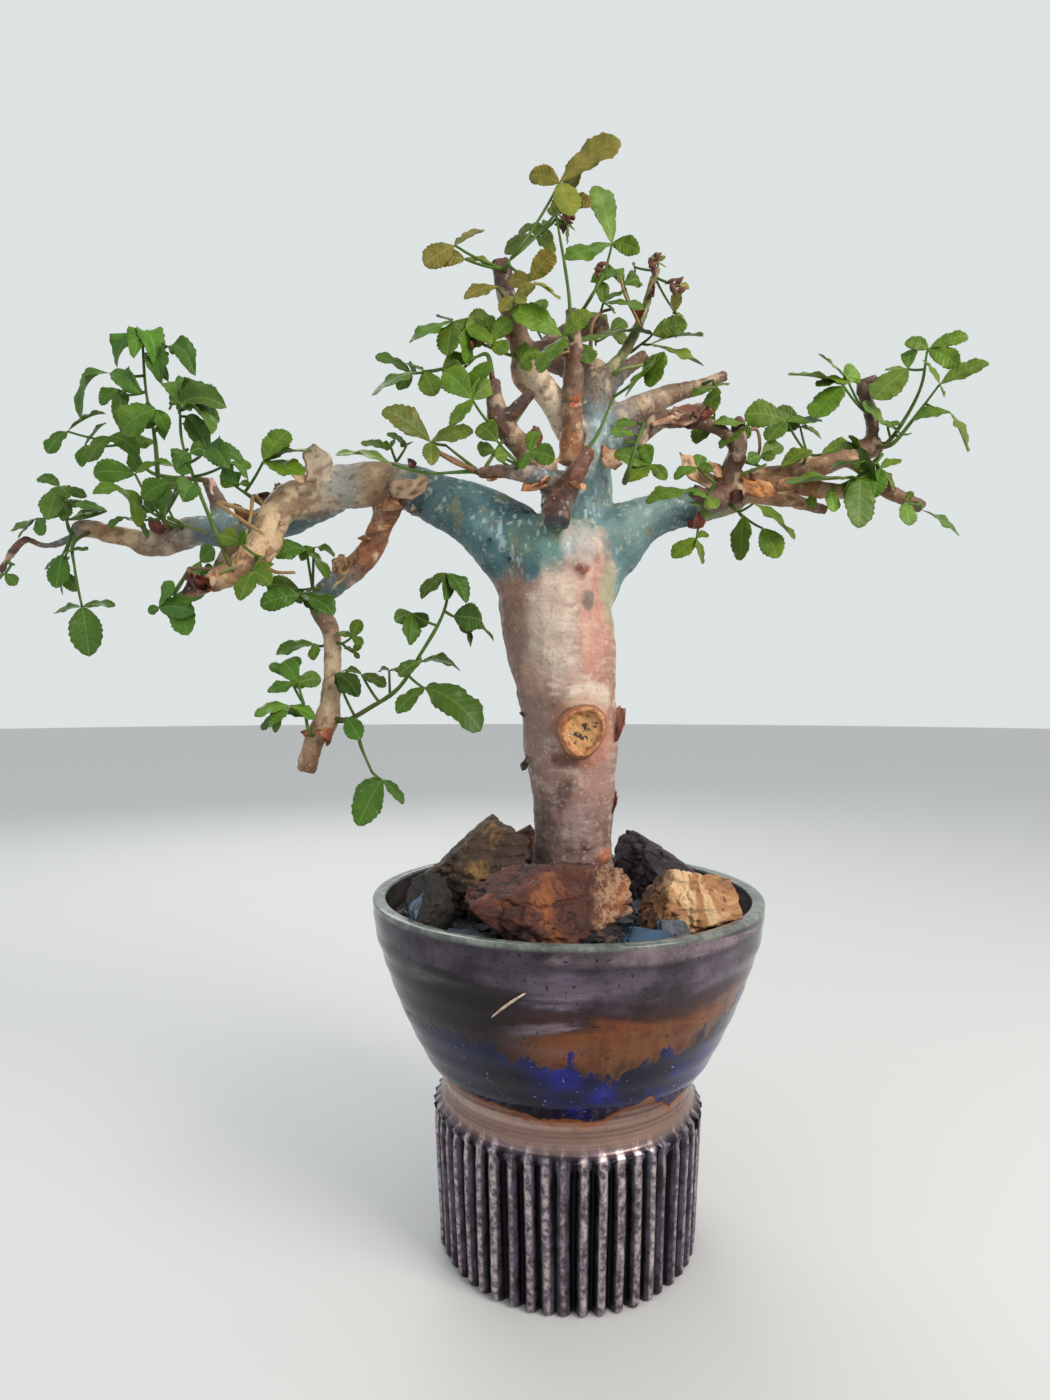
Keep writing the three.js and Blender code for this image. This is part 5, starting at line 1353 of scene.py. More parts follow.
# %% Peeling bark
# Fixed edge and free edge in mm, width, colour and curl.
PEELS = [
    ((-81, -17, 392), (-78, -21, 377), 16, "#b89878", 0.5),
    ((-89, -16, 380), (-86, -20, 361), 10, "#a8673a", 1.6),
    ((-81, -14, 368), (-79, -18, 355), 4, "#34241e", 1.8),
    ((-40, -25, 385), (-38, -29, 377), 5, "#c08a5c", 0.9),
    ((-18, -33, 381), (-15, -37, 370), 10, "#c4855a", 1.2),
    ((-12, -35, 384), (-8, -39, 376), 5, "#b87a50", 1.2), ((6, -35, 381), (1, -39, 373), 7, "#bd8156", 1.2),
    ((18, -14, 409), (21, -18, 394), 9, "#d8a07a", 0.5), ((1, -24, 429), (4, -28, 416), 6, "#a4532c", 0.8),
    ((43, -14, 436), (48, -18, 425), 12, "#b98a6e", 0.8),
    ((57, -14, 435), (61, -18, 424), 8, "#a27a66", 1.2),
    ((-13, -26, 413), (-7, -30, 419), 6, "#b06a44", 0.8),
    ((-126, -20, 386), (-125, -24, 401), 13, "#d6c2a8", 0.5),
    ((-133, -18, 390), (-140, -22, 386), 6, "#c7a888", 0.9),
    ((-176, 6, 402), (-180, 2, 402), 9, "#c79a90", 0.9),
    ((-170, 6, 397), (-169, 2, 386), 8, "#b98a78", 0.8),
    ((-176, -34, 335), (-164, -38, 331), 8, "#c98d66", 1.3),
    ((-143, -24, 366), (-136, -28, 360), 3.5, "#c8a684", 0.8),
    ((-147, -28, 351), (-142, -32, 344), 3.5, "#a57f60", 0.8),
    ((-122, -8, 343), (-115, -12, 351), 8, "#c79b66", 0.6),
    ((-124, -9, 334), (-111, -13, 346), 6, "#c4955c", 0.4),
    ((-101, -13, 356), (-102, -17, 343), 10, "#7a4a32", 0.5),
    ((-105, -12, 361), (-105, -16, 354), 6, "#9a6a44", 1.3),
    ((-94, -13, 364), (-92, -17, 359), 7, "#c58c5a", 1.2),
    ((72, -8, 389), (53, -12, 400), 8, "#c8a17c", 0.5), ((77, -6, 397), (67, -10, 393), 8, "#b98c66", 0.8),
    ((86, -2, 391), (104, -6, 381), 10, "#cf8a4e", 0.4), ((96, 4, 400), (116, 0, 389), 9, "#b9855a", 0.3),
    ((43, -14, 431), (60, -18, 423), 7, "#c09078", 0.5),
    ((54, -12, 426), (70, -16, 422), 7, "#9a6a54", 0.8), ((21, -8, 287), (27, -12, 288), 9, "#a04a42", 2.2),
    ((22, -4, 264), (32, -8, 262), 17, "#cf8478", 0.9), ((23, -2, 222), (27, -4, 221), 11, "#b8645a", 0.8),
    ((-20, -8, 248), (-24, -10, 239), 3, "#2c2220", 0.8),
    ((-22, -6, 270), (-25, -8, 266), 3, "#5a4038", 1.2),
]
strips("bark_peels", PEELS, 0.5, ("#8a5a3a", "#4a2e22", "#e6d2b4"))

# %% Dried leaves and buds
# The same table for dead leaves, which hang rolled up near the cuts.
DRIED = [
    ((-196, -30, 344), (-201, -34, 334), 7), ((-194, -30, 343), (-189, -32, 335), 7),
    ((-197, -32, 334), (-194, -34, 317), 9), ((-203, -30, 331), (-206, -34, 316), 4),
    ((62, 10, 497), (59, 8, 484), 3), ((68, -8, 365), (69, -12, 346), 6),
    ((89, -12, 378), (87, -16, 367), 6), ((92, -12, 377), (83, -16, 374), 5),
    ((18, 0, 499), (12, -6, 494), 7), ((70, -10, 427), (73, -14, 420), 7),
    ((63, -8, 417), (66, -14, 406), 5), ((-126, 4, 257), (-114, -4, 255), 5),
    ((-51, -30, 452), (-51, -34, 445), 4), ((-2, -6, 522), (1, -10, 516), 4),
    ((-163, 0, 395), (-149, -8, 393), 6), ((-175, 0, 381), (-167, -8, 373), 6),
    ((-227, 14, 385), (-218, 8, 373), 7), ((166, 0, 388), (170, -6, 384), 5),
    ((-79, -12, 400), (-75, -16, 397), 4), ((-150, 4, 263), (-144, 0, 263), 4),
]
DRIED_TINTS = ["#5a2a20", "#7a3a28", "#3e211c", "#8a5030"]
dried = [(a, b, w, DRIED_TINTS[i % 4], 1.9) for i, (a, b, w) in enumerate(DRIED)]
strips("dried_leaves", dried, 0.4, ("#8a4630", "#2a1815", "#b07048"))

# %% [markdown]
# ## The tree: thin stalks and buds
#
# Bare leaf stalks and thin shoots stand between the sprays, some tan and some green, and brown buds sit
# where new leaves will break. Stalks are swept tubes; a bud is a small egg, drawn out to a point.

# %% Stalks and buds
STALKS = [
    [(-158, -20, 378), (-158, -26, 364), (-162, -34, 342)],
    [(-215, 14, 375), (-202, 8, 369), (-189, 2, 364)],
    [(-189, -24, 341), (-175, -30, 340), (-161, -36, 339)],
    [(-174, -24, 374), (-159, -28, 363), (-151, -30, 358)],
    [(-178, -34, 333), (-169, -36, 337), (-161, -36, 340)], [(-154, -28, 351), (-154, -30, 340)],
    [(-145, -28, 339), (-134, -32, 338)], [(-41, -30, 390), (-31, -34, 404), (-19, -36, 421)],
    [(-65, -40, 395), (-57, -40, 390), (-48, -38, 386)], [(-26, -20, 449), (-13, -24, 446), (0, -24, 449)],
    [(30, 0, 450), (42, 6, 455), (52, 10, 462)], [(13, 0, 472), (18, 6, 482), (24, 10, 486)],
    [(39, 14, 482), (32, 12, 495), (29, 10, 504)], [(89, -4, 393), (97, -8, 395), (102, -10, 397)],
    [(98, -6, 416), (99, -8, 406), (97, -6, 399)],
]
STALK_TINTS = ["#9a7a4a", "#6b7a3c", "#7a5a3a"]
# Buds in groups: centre of the group, how many, and the reach of the group in mm.
BUDS = [
    ((46, 0, 506), 7, 7), ((58, 2, 495), 5, 6), ((-2, -8, 522), 5, 6), ((-158, -8, 392), 5, 5),
    ((96, -6, 392), 4, 6), ((-48, -34, 448), 3, 4), ((-118, -6, 254), 2, 3), ((16, -8, 497), 3, 4),
    ((70, -12, 366), 2, 3),
]


def buds():
    """Eggs: radius(t) = r sin(pi t)^0.8 along an axis, drawn out to a point, each turned its own way."""
    dice = np.random.default_rng(91)
    t = np.linspace(0.03, 0.97, 8)
    eggs = []
    for centre, count, reach in BUDS:
        middle = centre + to_wood(centre, 14.0)
        for place in dice.normal(0, 0.4 * reach, (count, 3)) + middle:
            axis = unit(dice.normal(size=3) * [1, 0.6, 1])
            line = place + axis * (t[:, None] - 0.5) * dice.uniform(4.5, 8)
            radius = dice.uniform(1.0, 1.9) * np.sin(np.pi * t[:, None]) ** 0.8 * (1.2 - 0.6 * t[:, None])
            eggs.append(swept_tube(line, radius, 8))
    return joined(eggs)


shoots, tints = [], []
for i, line in enumerate(STALKS):
    line = np.array(line, float)
    line = np.concatenate([line[:1] + to_wood(line[0]), line])
    path = smooth_line(line, 6 * len(line))
    radius = np.linspace(1.15, 0.7, len(path)) * (1 + 0.2 * noise(path, 5, 95))
    shoots.append(swept_tube(path, radius[:, None], 8))
    tints.append(np.tile(rgb(STALK_TINTS[i % 3]), (len(shoots[-1][0]), 1)))
shoots.append(buds())
bud_points = shoots[-1][0]
tints.append(shade(np.tile(rgb("#5e3524"), (len(bud_points), 1)), rough(bud_points, 4, 2, 96), "#96603a"))
points, faces = joined(shoots)
shoots = make_object("thin_stalks_and_buds", points, faces)
set_attribute(shoots, "bark", np.clip(np.concatenate(tints), 0, 1))
set_attribute(shoots, "old", np.zeros(len(points)))
declare(shoots, ["tree"], living_bark)

# %% [markdown]
# ## The leaves: where they are
#
# Each spray is a stem with a few compound leaves on thin stalks, and each leaf has three to five toothed
# leaflets that meet at a joint. A spray here is its stem's points, then its leaves: the joint, and for each
# leaflet the tip's x, y, z and the breadth that the front shows, all in mm, as in the CAD model.

# %% Stems, joints and tips
SPRAYS = {
    "crown_snag_leaves": ([(-32, -28, 473)], [
        [(-35, -36, 475), (-51, -40, 467, 9)],
        [(-27, -40, 468), (-17, -44, 471, 7), (-22, -44, 463, 6), (-34, -42, 460, 7)],
    ]),
    "crown_left_upper": ([(-29, -24, 447), (-41, -30, 449)], [
        [(-57, -34, 459), (-77, -40, 446, 10), (-59, -42, 439, 11), (-65, -26, 465, 3),
         (-42, -30, 450, 14)],
        [(-39, -34, 449), (-41, -30, 464, 9), (-28, -38, 458, 9), (-30, -42, 441, 8)],
    ]),
    "crown_left_middle": ([(-40, -36, 442), (-46, -36, 441)], [
        [(-71, -34, 435), (-95, -40, 421, 9), (-80, -28, 441, 3), (-65, -42, 420, 11)],
        [(-62, -36, 435), (-51, -32, 444, 8), (-52, -42, 431, 10)],
    ]),
    "crown_left_lower": ([(-40, -40, 409)], [
        [(-47, -44, 418), (-60, -48, 429, 14), (-56, -50, 403, 9), (-37, -38, 428, 10), (-41, -36, 439, 9)],
    ]),
    "shoulder_olive_leaf": ([(-45, -34, 387), (-60, -38, 398)], [
        [(-67, -40, 399), (-89, -46, 412, 13), (-47, -36, 406, 9), (-66, -46, 386, 8)],
    ]),
    "shoulder_long_leaf": ([(-48, -36, 386), (-64, -40, 384)], [
        [(-85, -42, 388), (-111, -46, 391, 7)],
    ]),
    "bough_bud_leaves": ([(-89, -4, 400)], [
        [(-91, -8, 406), (-106, -12, 407, 5), (-95, -12, 406, 5), (-90, -6, 411, 3)],
    ]),
    "crown_middle_leaves": ([(-1, -30, 449)], [
        [(-4, -36, 451), (-28, -40, 462, 14), (9, -42, 460, 9), (-14, -50, 428, 12)],
    ]),
    "crown_light_leaf": ([(3, -6, 466)], [
        [(5, -14, 457), (18, -8, 464, 5), (10, -24, 443, 12), (-1, -18, 447, 6)],
    ]),
    "crown_upper_right": ([(12, 4, 488), (20, 4, 502)], [
        [(24, 2, 517), (15, -2, 545, 15), (-1, -6, 504, 13), (38, -2, 510, 10)],
    ]),
    "crown_curled_leaf": ([(39, 18, 485)], [
        [(32, 16, 502), (14, 8, 502, 9), (42, 20, 507, 10), (24, 24, 516, 7)],
    ]),
    "crown_inner_right": ([(17, 14, 481)], [
        [(20, 10, 489), (19, 12, 502, 8), (33, 16, 499, 7), (41, 4, 483, 7), (25, 2, 480, 5)],
    ]),
    "crown_olive_right": ([(36, 22, 468), (42, 18, 471)], [
        [(47, 14, 474), (18, 0, 466, 8), (65, 8, 477, 12)],
        [(46, 12, 468), (75, 16, 474, 8), (73, 4, 453, 12)],
    ]),
    "crown_drooping_right": ([(1, -34, 388), (13, -30, 405), (22, -22, 427)], [
        [(48, -18, 451), (40, -24, 431, 8), (28, -22, 427, 6), (38, -12, 441, 6)],
    ]),
    "crown_tip_leaves_right": ([(79, 10, 448)], [
        [(80, 6, 443), (66, 0, 435, 6), (88, 12, 447, 3), (74, -2, 424, 7)],
        [(78, 2, 426), (67, -4, 409, 8)],
    ]),
    "crown_back_leaves": ([(-12, 46, 486)], [
        [(-17, 52, 499), (-33, 60, 495, 11), (-11, 58, 515, 10), (-3, 56, 497, 9)],
    ]),
    "crown_back_right_leaves": ([(19, 44, 481)], [
        [(28, 50, 491), (15, 58, 507, 9), (38, 58, 502, 9), (39, 54, 486, 8)],
    ]),
    "right_fan_leaf": ([(159, 8, 431)], [
        [(146, 2, 442), (115, -4, 445, 9), (154, 6, 453, 10), (127, -6, 422, 13)],
    ]),
    "right_shoot_low": ([(173, 6, 412), (182, 2, 423), (194, -2, 440)], [
        [(195, -2, 441), (217, -8, 450, 10), (189, 4, 456, 8), (195, -6, 433, 4)],
        [(198, -6, 425), (181, -2, 422, 8), (203, -14, 402, 11)],
    ]),
    "right_inner_leaves": ([(100, -6, 397)], [
        [(93, -10, 417), (74, -14, 416, 6), (77, -16, 403, 7), (91, -6, 411, 6)],
        [(98, -14, 400), (90, -18, 396, 7), (111, -8, 407, 9), (104, -18, 398, 6)],
    ]),
    "right_hanging_leaves": ([(68, -8, 370)], [
        [(66, -10, 359), (53, -14, 348, 9), (73, -6, 362, 4), (68, -14, 345, 5)],
    ]),
    "right_tip_leaves": ([(185, -3, 378)], [
        [(184, -4, 375), (201, -10, 360, 7)],
        [(174, -8, 378), (174, -12, 365, 10), (177, -10, 383, 4)],
    ]),
    "left_tall_shoot": ([(-216, 8, 374), (-218, 4, 413), (-221, 0, 438), (-221, -4, 461)], [
        [(-222, -4, 467), (-234, -10, 450, 11), (-210, -10, 449, 9), (-219, -14, 452, 6)],
        [(-209, -4, 459), (-192, -8, 447, 9), (-212, -10, 440, 8)],
        [(-237, -6, 445), (-253, -12, 423, 13), (-220, -12, 436, 10)],
        [(-212, -10, 425), (-227, -16, 412, 16), (-208, -6, 415, 8)],
    ]),
    "left_front_shoot": ([(-165, -34, 342), (-173, -36, 362), (-180, -38, 381), (-187, -36, 400),
                          (-189, -34, 416)], [
        [(-189, -34, 419), (-167, -40, 417, 15), (-195, -28, 434, 10), (-170, -44, 406, 10),
         (-195, -30, 423, 8)],
        [(-187, -32, 414), (-176, -36, 398, 11)],
        [(-181, -42, 393), (-186, -46, 384, 9), (-175, -38, 395, 8)],
        [(-173, -44, 393), (-161, -50, 385, 12), (-156, -40, 391, 8)],
        [(-178, -42, 378), (-182, -48, 370, 12)],
    ]),
    "left_middle_leaves": ([(-210, -6, 370)], [
        [(-203, -12, 387), (-204, -18, 368, 8), (-216, -16, 378, 11)],
        [(-224, -6, 393), (-244, -10, 393, 12), (-206, -2, 399, 8)],
        [(-228, -12, 384), (-241, -16, 381, 7), (-216, -18, 364, 5)],
    ]),
    "left_inner_leaves": ([(-167, -20, 383)], [
        [(-163, -24, 389), (-170, -30, 380, 8), (-160, -22, 395, 6)],
        [(-151, -26, 394), (-140, -22, 410, 14), (-126, -30, 397, 6), (-129, -34, 385, 9)],
    ]),
    "left_hanging_leaf": ([(-267, 14, 361), (-265, 12, 346)], [
        [(-260, 10, 326), (-253, 4, 299, 15), (-277, 14, 323, 4), (-244, 14, 327, 5)],
    ]),
    "left_far_leaf": ([(-309, 30, 352)], [
        [(-314, 30, 347), (-305, 26, 340, 6), (-323, 34, 342, 5)],
    ]),
    "left_under_leaves": ([(-200, 2, 344)], [
        [(-204, -6, 330), (-194, -12, 309, 14), (-185, -14, 329, 9), (-211, -4, 336, 6)],
        [(-191, -4, 348), (-182, -8, 354, 10), (-193, -8, 338, 7)],
    ]),
    "hanging_small_fan": ([(-119, 4, 306)], [
        [(-113, 0, 309), (-122, 4, 312, 4), (-108, -2, 318, 7), (-106, -4, 305, 5)],
    ]),
    "hanging_left_upper": ([(-132, 12, 305)], [
        [(-135, 8, 306), (-154, 4, 300, 8), (-133, 2, 297, 7)],
    ]),
    "hanging_bottom_leaf": ([(-111, -4, 264), (-107, -6, 252), (-101, -8, 239)], [
        [(-96, -8, 235), (-107, -14, 212, 14), (-112, -2, 224, 8), (-85, -4, 222, 4)],
        [(-114, -10, 267), (-105, -18, 256, 10)],
    ]),
    "crown_snag_leaves_top": ([(-31, -30, 488), (-29, -31, 491)], [
        [(-5, -28, 530), (24, -34, 547, 17), (-20, -24, 536, 10), (1, -36, 509, 13)],
        [(-56, -34, 496), (-42, -26, 508, 8), (-70, -40, 483, 12)],
        [(-19, -38, 477), (-8, -44, 487, 11), (-21, -34, 482, 8), (-6, -46, 464, 7), (-30, -34, 478, 8)],
    ]),
    "crown_central_shoot": ([(0, -30, 455), (0, -26, 472), (-2, -20, 493), (-6, -14, 521)], [
        [(-16, -6, 516), (-33, 2, 512, 10), (-17, -2, 525, 7), (-7, -10, 505, 8)],
        [(-6, -14, 523), (-11, -17, 523, 4), (-2, -11, 527, 4), (-6, -12, 528, 3), (1, -10, 518, 3)],
    ]),
    "crown_right_shoot_tips": ([(50, 24, 511), (52, 25, 518)], [
        [(52, 25, 519), (48, 23, 522, 3), (56, 27, 524, 3), (57, 28, 518, 2)],
        [(63, 20, 504), (61, 18, 507, 3), (69, 23, 504, 4), (60, 16, 488, 4)],
    ]),
    "crown_front_leaves": ([(-25, -44, 388)], [
        [(-20, -46, 392), (-8, -50, 388, 10), (-17, -40, 404, 7), (-24, -50, 383, 5)],
        [(-30, -46, 391), (-36, -50, 389, 7)],
        [(-35, -44, 398), (-44, -40, 407, 11)],
    ]),
    "crown_lower_right_leaves": ([(28, -33, 386), (32, -33, 400), (36, -31, 411)], [
        [(41, -20, 394), (22, -24, 398, 9), (29, -28, 383, 9), (36, -26, 402, 8), (48, -24, 385, 7)],
        [(33, -28, 412), (22, -32, 410, 5)],
        [(31, -32, 405), (19, -36, 405, 6)],
    ]),
    "right_upper_leaves": ([(127, 2, 406)], [
        [(114, -4, 421), (91, -8, 423, 14), (134, 0, 423, 8), (102, -12, 408, 8)],
        [(110, -8, 396), (127, -2, 407, 8)],
        [(130, -10, 402), (150, -6, 408, 9)],
    ]),
    "right_near_leaves": ([(73, -22, 384)], [
        [(63, -26, 391), (66, -22, 398, 7), (70, -30, 388, 5), (51, -32, 383, 7)],
        [(67, -30, 375), (57, -26, 380, 5), (70, -36, 368, 7)],
        [(58, -32, 378), (36, -38, 370, 8)],
    ]),
    "right_droop_leaves": ([(87, -12, 372)], [
        [(93, -18, 375), (111, -26, 355, 11)],
        [(97, -20, 362), (103, -26, 346, 12)],
    ]),
    "right_end_leaves": ([(167, 4, 406), (162, -2, 400)], [
        [(162, -6, 396), (156, -12, 379, 9), (172, -2, 386, 6), (174, -2, 402, 6)],
        [(158, -8, 398), (133, -14, 393, 6), (152, -4, 397, 6)],
        [(149, -12, 389), (145, -20, 362, 16), (109, -20, 384, 6)],
        [(134, -12, 383), (134, -16, 371, 8)],
    ]),
    "right_shoot_tall": ([(175, 14, 416), (185, 14, 430), (191, 10, 445), (193, 8, 462)], [
        [(194, 8, 464), (212, 2, 468, 8), (183, 12, 469, 9), (206, 0, 451, 11)],
        [(183, 8, 453), (161, 0, 434, 14), (172, 12, 454, 5), (187, 14, 466, 7)],
        [(172, 8, 422), (156, 2, 433, 8), (182, 12, 425, 4)],
    ]),
    "left_end_shoot": ([(-274, 24, 369), (-276, 22, 379)], [
        [(-279, 22, 394), (-282, 16, 374, 13), (-266, 26, 389, 6), (-293, 26, 400, 6), (-270, 16, 386, 6)],
        [(-294, 26, 377), (-306, 22, 369, 5), (-286, 20, 367, 9), (-307, 30, 367, 6)],
        [(-250, 16, 379), (-265, 12, 382, 5), (-266, 8, 372, 7)],
        [(-274, 16, 355), (-274, 10, 336, 11), (-258, 12, 357, 5), (-286, 20, 348, 5)],
    ]),
    "left_fork_leaves": ([(-150, -34, 345), (-152, -36, 340)], [
        [(-153, -36, 338), (-157, -42, 323, 10), (-143, -40, 331, 9), (-144, -32, 342, 5)],
        [(-158, -38, 351), (-167, -42, 354, 9), (-153, -44, 354, 7)],
    ]),
    "left_round_leaves": ([(-229, 24, 402), (-238, 20, 418)], [
        [(-242, 12, 444), (-249, 8, 434, 10), (-239, 16, 437, 6)],
        [(-244, 8, 417), (-253, 2, 402, 11), (-230, 12, 409, 10)],
        [(-269, 12, 421), (-277, 6, 408, 9), (-251, 16, 433, 7)],
    ]),
    "hanging_top_leaves": ([(-132, -6, 334)], [
        [(-134, -10, 353), (-148, -16, 348, 11), (-122, -16, 338, 6)],
        [(-137, -10, 330), (-156, -16, 324, 12), (-118, -18, 320, 8), (-140, -6, 326, 5)],
    ]),
    "hanging_left_fan": ([(-134, -6, 260), (-136, -8, 274)], [
        [(-139, -8, 285), (-148, -4, 296, 11), (-153, -14, 280, 6), (-128, -4, 287, 9)],
        [(-142, -12, 273), (-159, -16, 268, 7), (-150, -20, 262, 7), (-130, -8, 266, 4)],
    ]),
    "hanging_green_shoot": ([(-117, 2, 265), (-102, -8, 272), (-86, -16, 282), (-74, -22, 299),
                             (-64, -26, 315), (-60, -28, 327), (-60, -30, 338)], [
        [(-60, -30, 338), (-72, -36, 325, 9), (-50, -36, 323, 8), (-60, -38, 324, 4)],
        [(-78, -24, 319), (-86, -28, 315, 8), (-71, -20, 313, 8), (-78, -32, 303, 8)],
        [(-57, -28, 317), (-43, -32, 315, 14), (-37, -22, 306, 6)],
        [(-73, -26, 295), (-84, -30, 288, 7), (-54, -22, 291, 6)],
        [(-72, -24, 282), (-85, -30, 270, 7), (-43, -32, 262, 14), (-61, -20, 282, 3)],
        [(-105, -14, 289), (-116, -10, 291, 4), (-92, -18, 283, 5)],
        [(-121, -2, 290), (-108, -6, 278, 9), (-119, 2, 279, 4)],
    ]),
}

# %% [markdown]
# ## The leaves: one leaflet
#
# A leaflet is a thin closed shell. Its outline is narrow at the stalk, widest past the middle and toothed
# like a saw. It is folded a little along its midrib, arched, and wavy at the margin. A flat card cut to
# the outline would be quicker, but real edges and folds catch the light from every side.

# %% Leaflet shapes
LEAF_BREADTH = 0.56
LEAF_THICK_MM = 0.34
ALONG = np.linspace(0, 1, 19)
ACROSS = np.array([-1, -0.92, -0.62, -0.3, 0, 0.3, 0.62, 0.92, 1])
RING = np.concatenate([ACROSS, ACROSS[-2:0:-1]])
SIDE_OF_RING = np.array([0] + [1] * 7 + [0] + [-1] * 7)


def leaflet_frames(joints, tips, shown):
    """Along = joint to tip. The face turns to the front, then rolls till its breadth shows as given."""
    along = tips - joints
    length = np.linalg.norm(along, axis=1)
    along = unit(along)
    breadth = np.maximum(shown, LEAF_BREADTH * length)
    roll = np.arccos(np.minimum(1, shown / breadth))
    facing = unit(np.array([0, -1.0, 0]) + along * along[:, 1:2])
    side = np.cross(along, facing)
    lift = np.where(side[:, 2] > 0, roll, -roll)[:, None]
    facing = unit(facing * np.cos(lift) + side * np.sin(lift))
    return along, np.cross(facing, along), facing, length, breadth


def leaflets(joints, tips, shown, curl, dice):
    """Shells (n, rows, columns, 3): half breadth t^a (1 - t^b)^0.75 with teeth, fold |v|, arch t(1-t)."""
    along, side, facing, length, breadth = leaflet_frames(joints, tips, shown)
    n = len(length)
    t = ALONG[None, :, None]
    v = RING[None, None, :]
    swell, taper = dice.uniform(0.62, 0.92, (n, 1)), dice.uniform(1.8, 2.8, (n, 1))
    shape = ALONG**swell * (1 - ALONG**taper) ** 0.75
    shape = (shape / shape.max(1, keepdims=True) + 0.02)[:, :, None]
    tooth = np.where(np.arange(len(ALONG)) % 2 == 0, 0.955, 1.045)[None, :, None]
    rim = np.where(np.abs(v) > 0.99, tooth, 1.0)
    half = 0.5 * breadth[:, None, None] * shape * rim
    size = length[:, None, None]
    phase, lean, fold, wave, bow = (dice.uniform(a, b, (n, 1, 1)) for a, b in
                                    ((0, 6.28), (-0.35, 0.35), (0.05, 0.32), (0.02, 0.05), (0.02, 0.10)))
    fold, wave, bow = fold + 0.5 * curl, wave * (1 + 2.5 * curl), bow * (1 + 2 * curl)
    forward = 0.012 * size * np.where(np.abs(v) > 0.99, 1.0, 0.0) * (tooth > 1)
    twist = lean * t * (1 + curl)
    out = half * v
    up = fold * np.abs(out) * (1 - 0.4 * np.abs(v))
    up = up + wave * size * v**2 * np.sin(phase + 9 * t + 2 * v) * shape
    up = up + 0.02 * size * np.sin(phase * 3 + 21 * t) * (np.abs(v) ** 0.5) * shape
    thick = LEAF_THICK_MM * SIDE_OF_RING[None, None, :] * (1 - 0.6 * np.abs(v)) * (0.35 + 0.65 * shape)
    a, s, f = (w[:, None, None, :] for w in (along, side, facing))
    across = s * np.cos(twist)[..., None] + f * np.sin(twist)[..., None]
    over = f * np.cos(twist)[..., None] - s * np.sin(twist)[..., None]
    arch = (bow * size * 4 * t * (1 - t))[..., None] * np.array([0, 0, 1.0])
    hook = (curl * 0.35 * size * np.clip(t - 0.6, 0, 1) ** 2 * 4)[..., None] * -f
    points = joints[:, None, None] + a * (size * t + forward)[..., None] + across * out[..., None]
    points = points + over * (up + thick)[..., None] + arch + hook
    vein = 8.0 * t - 1.5 * np.abs(v) * shape + 0 * half
    marks = np.stack([vein, np.abs(out), np.abs(v) + 0 * half], -1)
    return points, marks


# %% [markdown]
# ## The leaves: colour and stalks
#
# Young leaves are a clear mid green, those in the left cluster a deeper one, those that hang are dark,
# and the sun has bronzed the top ones. Each leaflet gets its own tone, a step from its spray's. The stalks
# are round, green, and hang a little between their ends.

# %% Tones of the sprays
LEAF_TONES = {
    "crown_snag_leaves": "#6f8634", "crown_snag_leaves_top": "#74812c", "shoulder_olive_leaf": "#6d8a34",
    "shoulder_long_leaf": "#5c8a2c", "crown_olive_right": "#5f7e28", "crown_right_shoot_tips": "#7c8c36",
    "crown_central_shoot": "#5c7a30", "left_tall_shoot": "#2f7a20", "left_front_shoot": "#2a6c20",
    "left_under_leaves": "#347c20", "left_end_shoot": "#3a7a1e", "left_round_leaves": "#3a7a1e",
    "left_middle_leaves": "#427e1a", "left_far_leaf": "#3a7a1e", "left_hanging_leaf": "#28681c",
    "hanging_bottom_leaf": "#2c721c", "hanging_left_fan": "#35781c", "hanging_left_upper": "#3c7c1e",
    "hanging_green_shoot": "#1e5212", "hanging_top_leaves": "#2e6618", "right_fan_leaf": "#53861a",
    "right_end_leaves": "#4a800e", "right_shoot_tall": "#4c8212",
}
COMMON_TONE = "#4a7d12"
CURLED = {"left_tall_shoot": 0.9, "left_front_shoot": 0.9, "left_middle_leaves": 0.3,
          "crown_curled_leaf": 0.6,
          "hanging_green_shoot": 0.2, "left_round_leaves": 0.25, "hanging_top_leaves": 0.3}
SUNNED = {"crown_snag_leaves_top": 0.5, "crown_snag_leaves": 0.35, "crown_right_shoot_tips": 0.3}
# The marks of a part without veins: vein phase, distance from the midrib in mm, share of the way out.
NO_VEINS = np.array([0.5, 9.0, 0.0])
# Light that has passed through a blade comes out yellower.
THROUGH_LEAF = (1.25, 0.86, 0.72)
OLIVE, OLIVE_SHARE = rgb("#56702c"), 0.38
STEM_REACH_MM = (-8, 42)  # a stem this near to a limb's skin is rooted in the limb
leaf_dice = np.random.default_rng(77)


def stalk(a, b, radius, sag):
    """A thin tube from a to b whose middle hangs: a + (b - a) t - sag * 4 t (1 - t) downwards."""
    t = np.linspace(0, 1, 6)[:, None]
    line = a + (b - a) * t - np.array([0, 0, sag]) * 4 * t * (1 - t)
    return line, np.linspace(radius * 1.25, radius, 6)[:, None]


COMMON_SHARE = 0.25
# Sprays that grow dense, with the share of their leaves that have a smaller, younger one behind them.
DENSE = {"left_tall_shoot": 0.7, "left_front_shoot": 0.8, "left_middle_leaves": 1.0, "left_round_leaves": 0.9,
         "left_end_shoot": 0.6, "left_under_leaves": 0.6, "crown_snag_leaves": 0.7,
         "crown_central_shoot": 0.8,
         "crown_right_shoot_tips": 0.5, "crown_olive_right": 0.6, "right_end_leaves": 0.4,
         "hanging_top_leaves": 0.5}


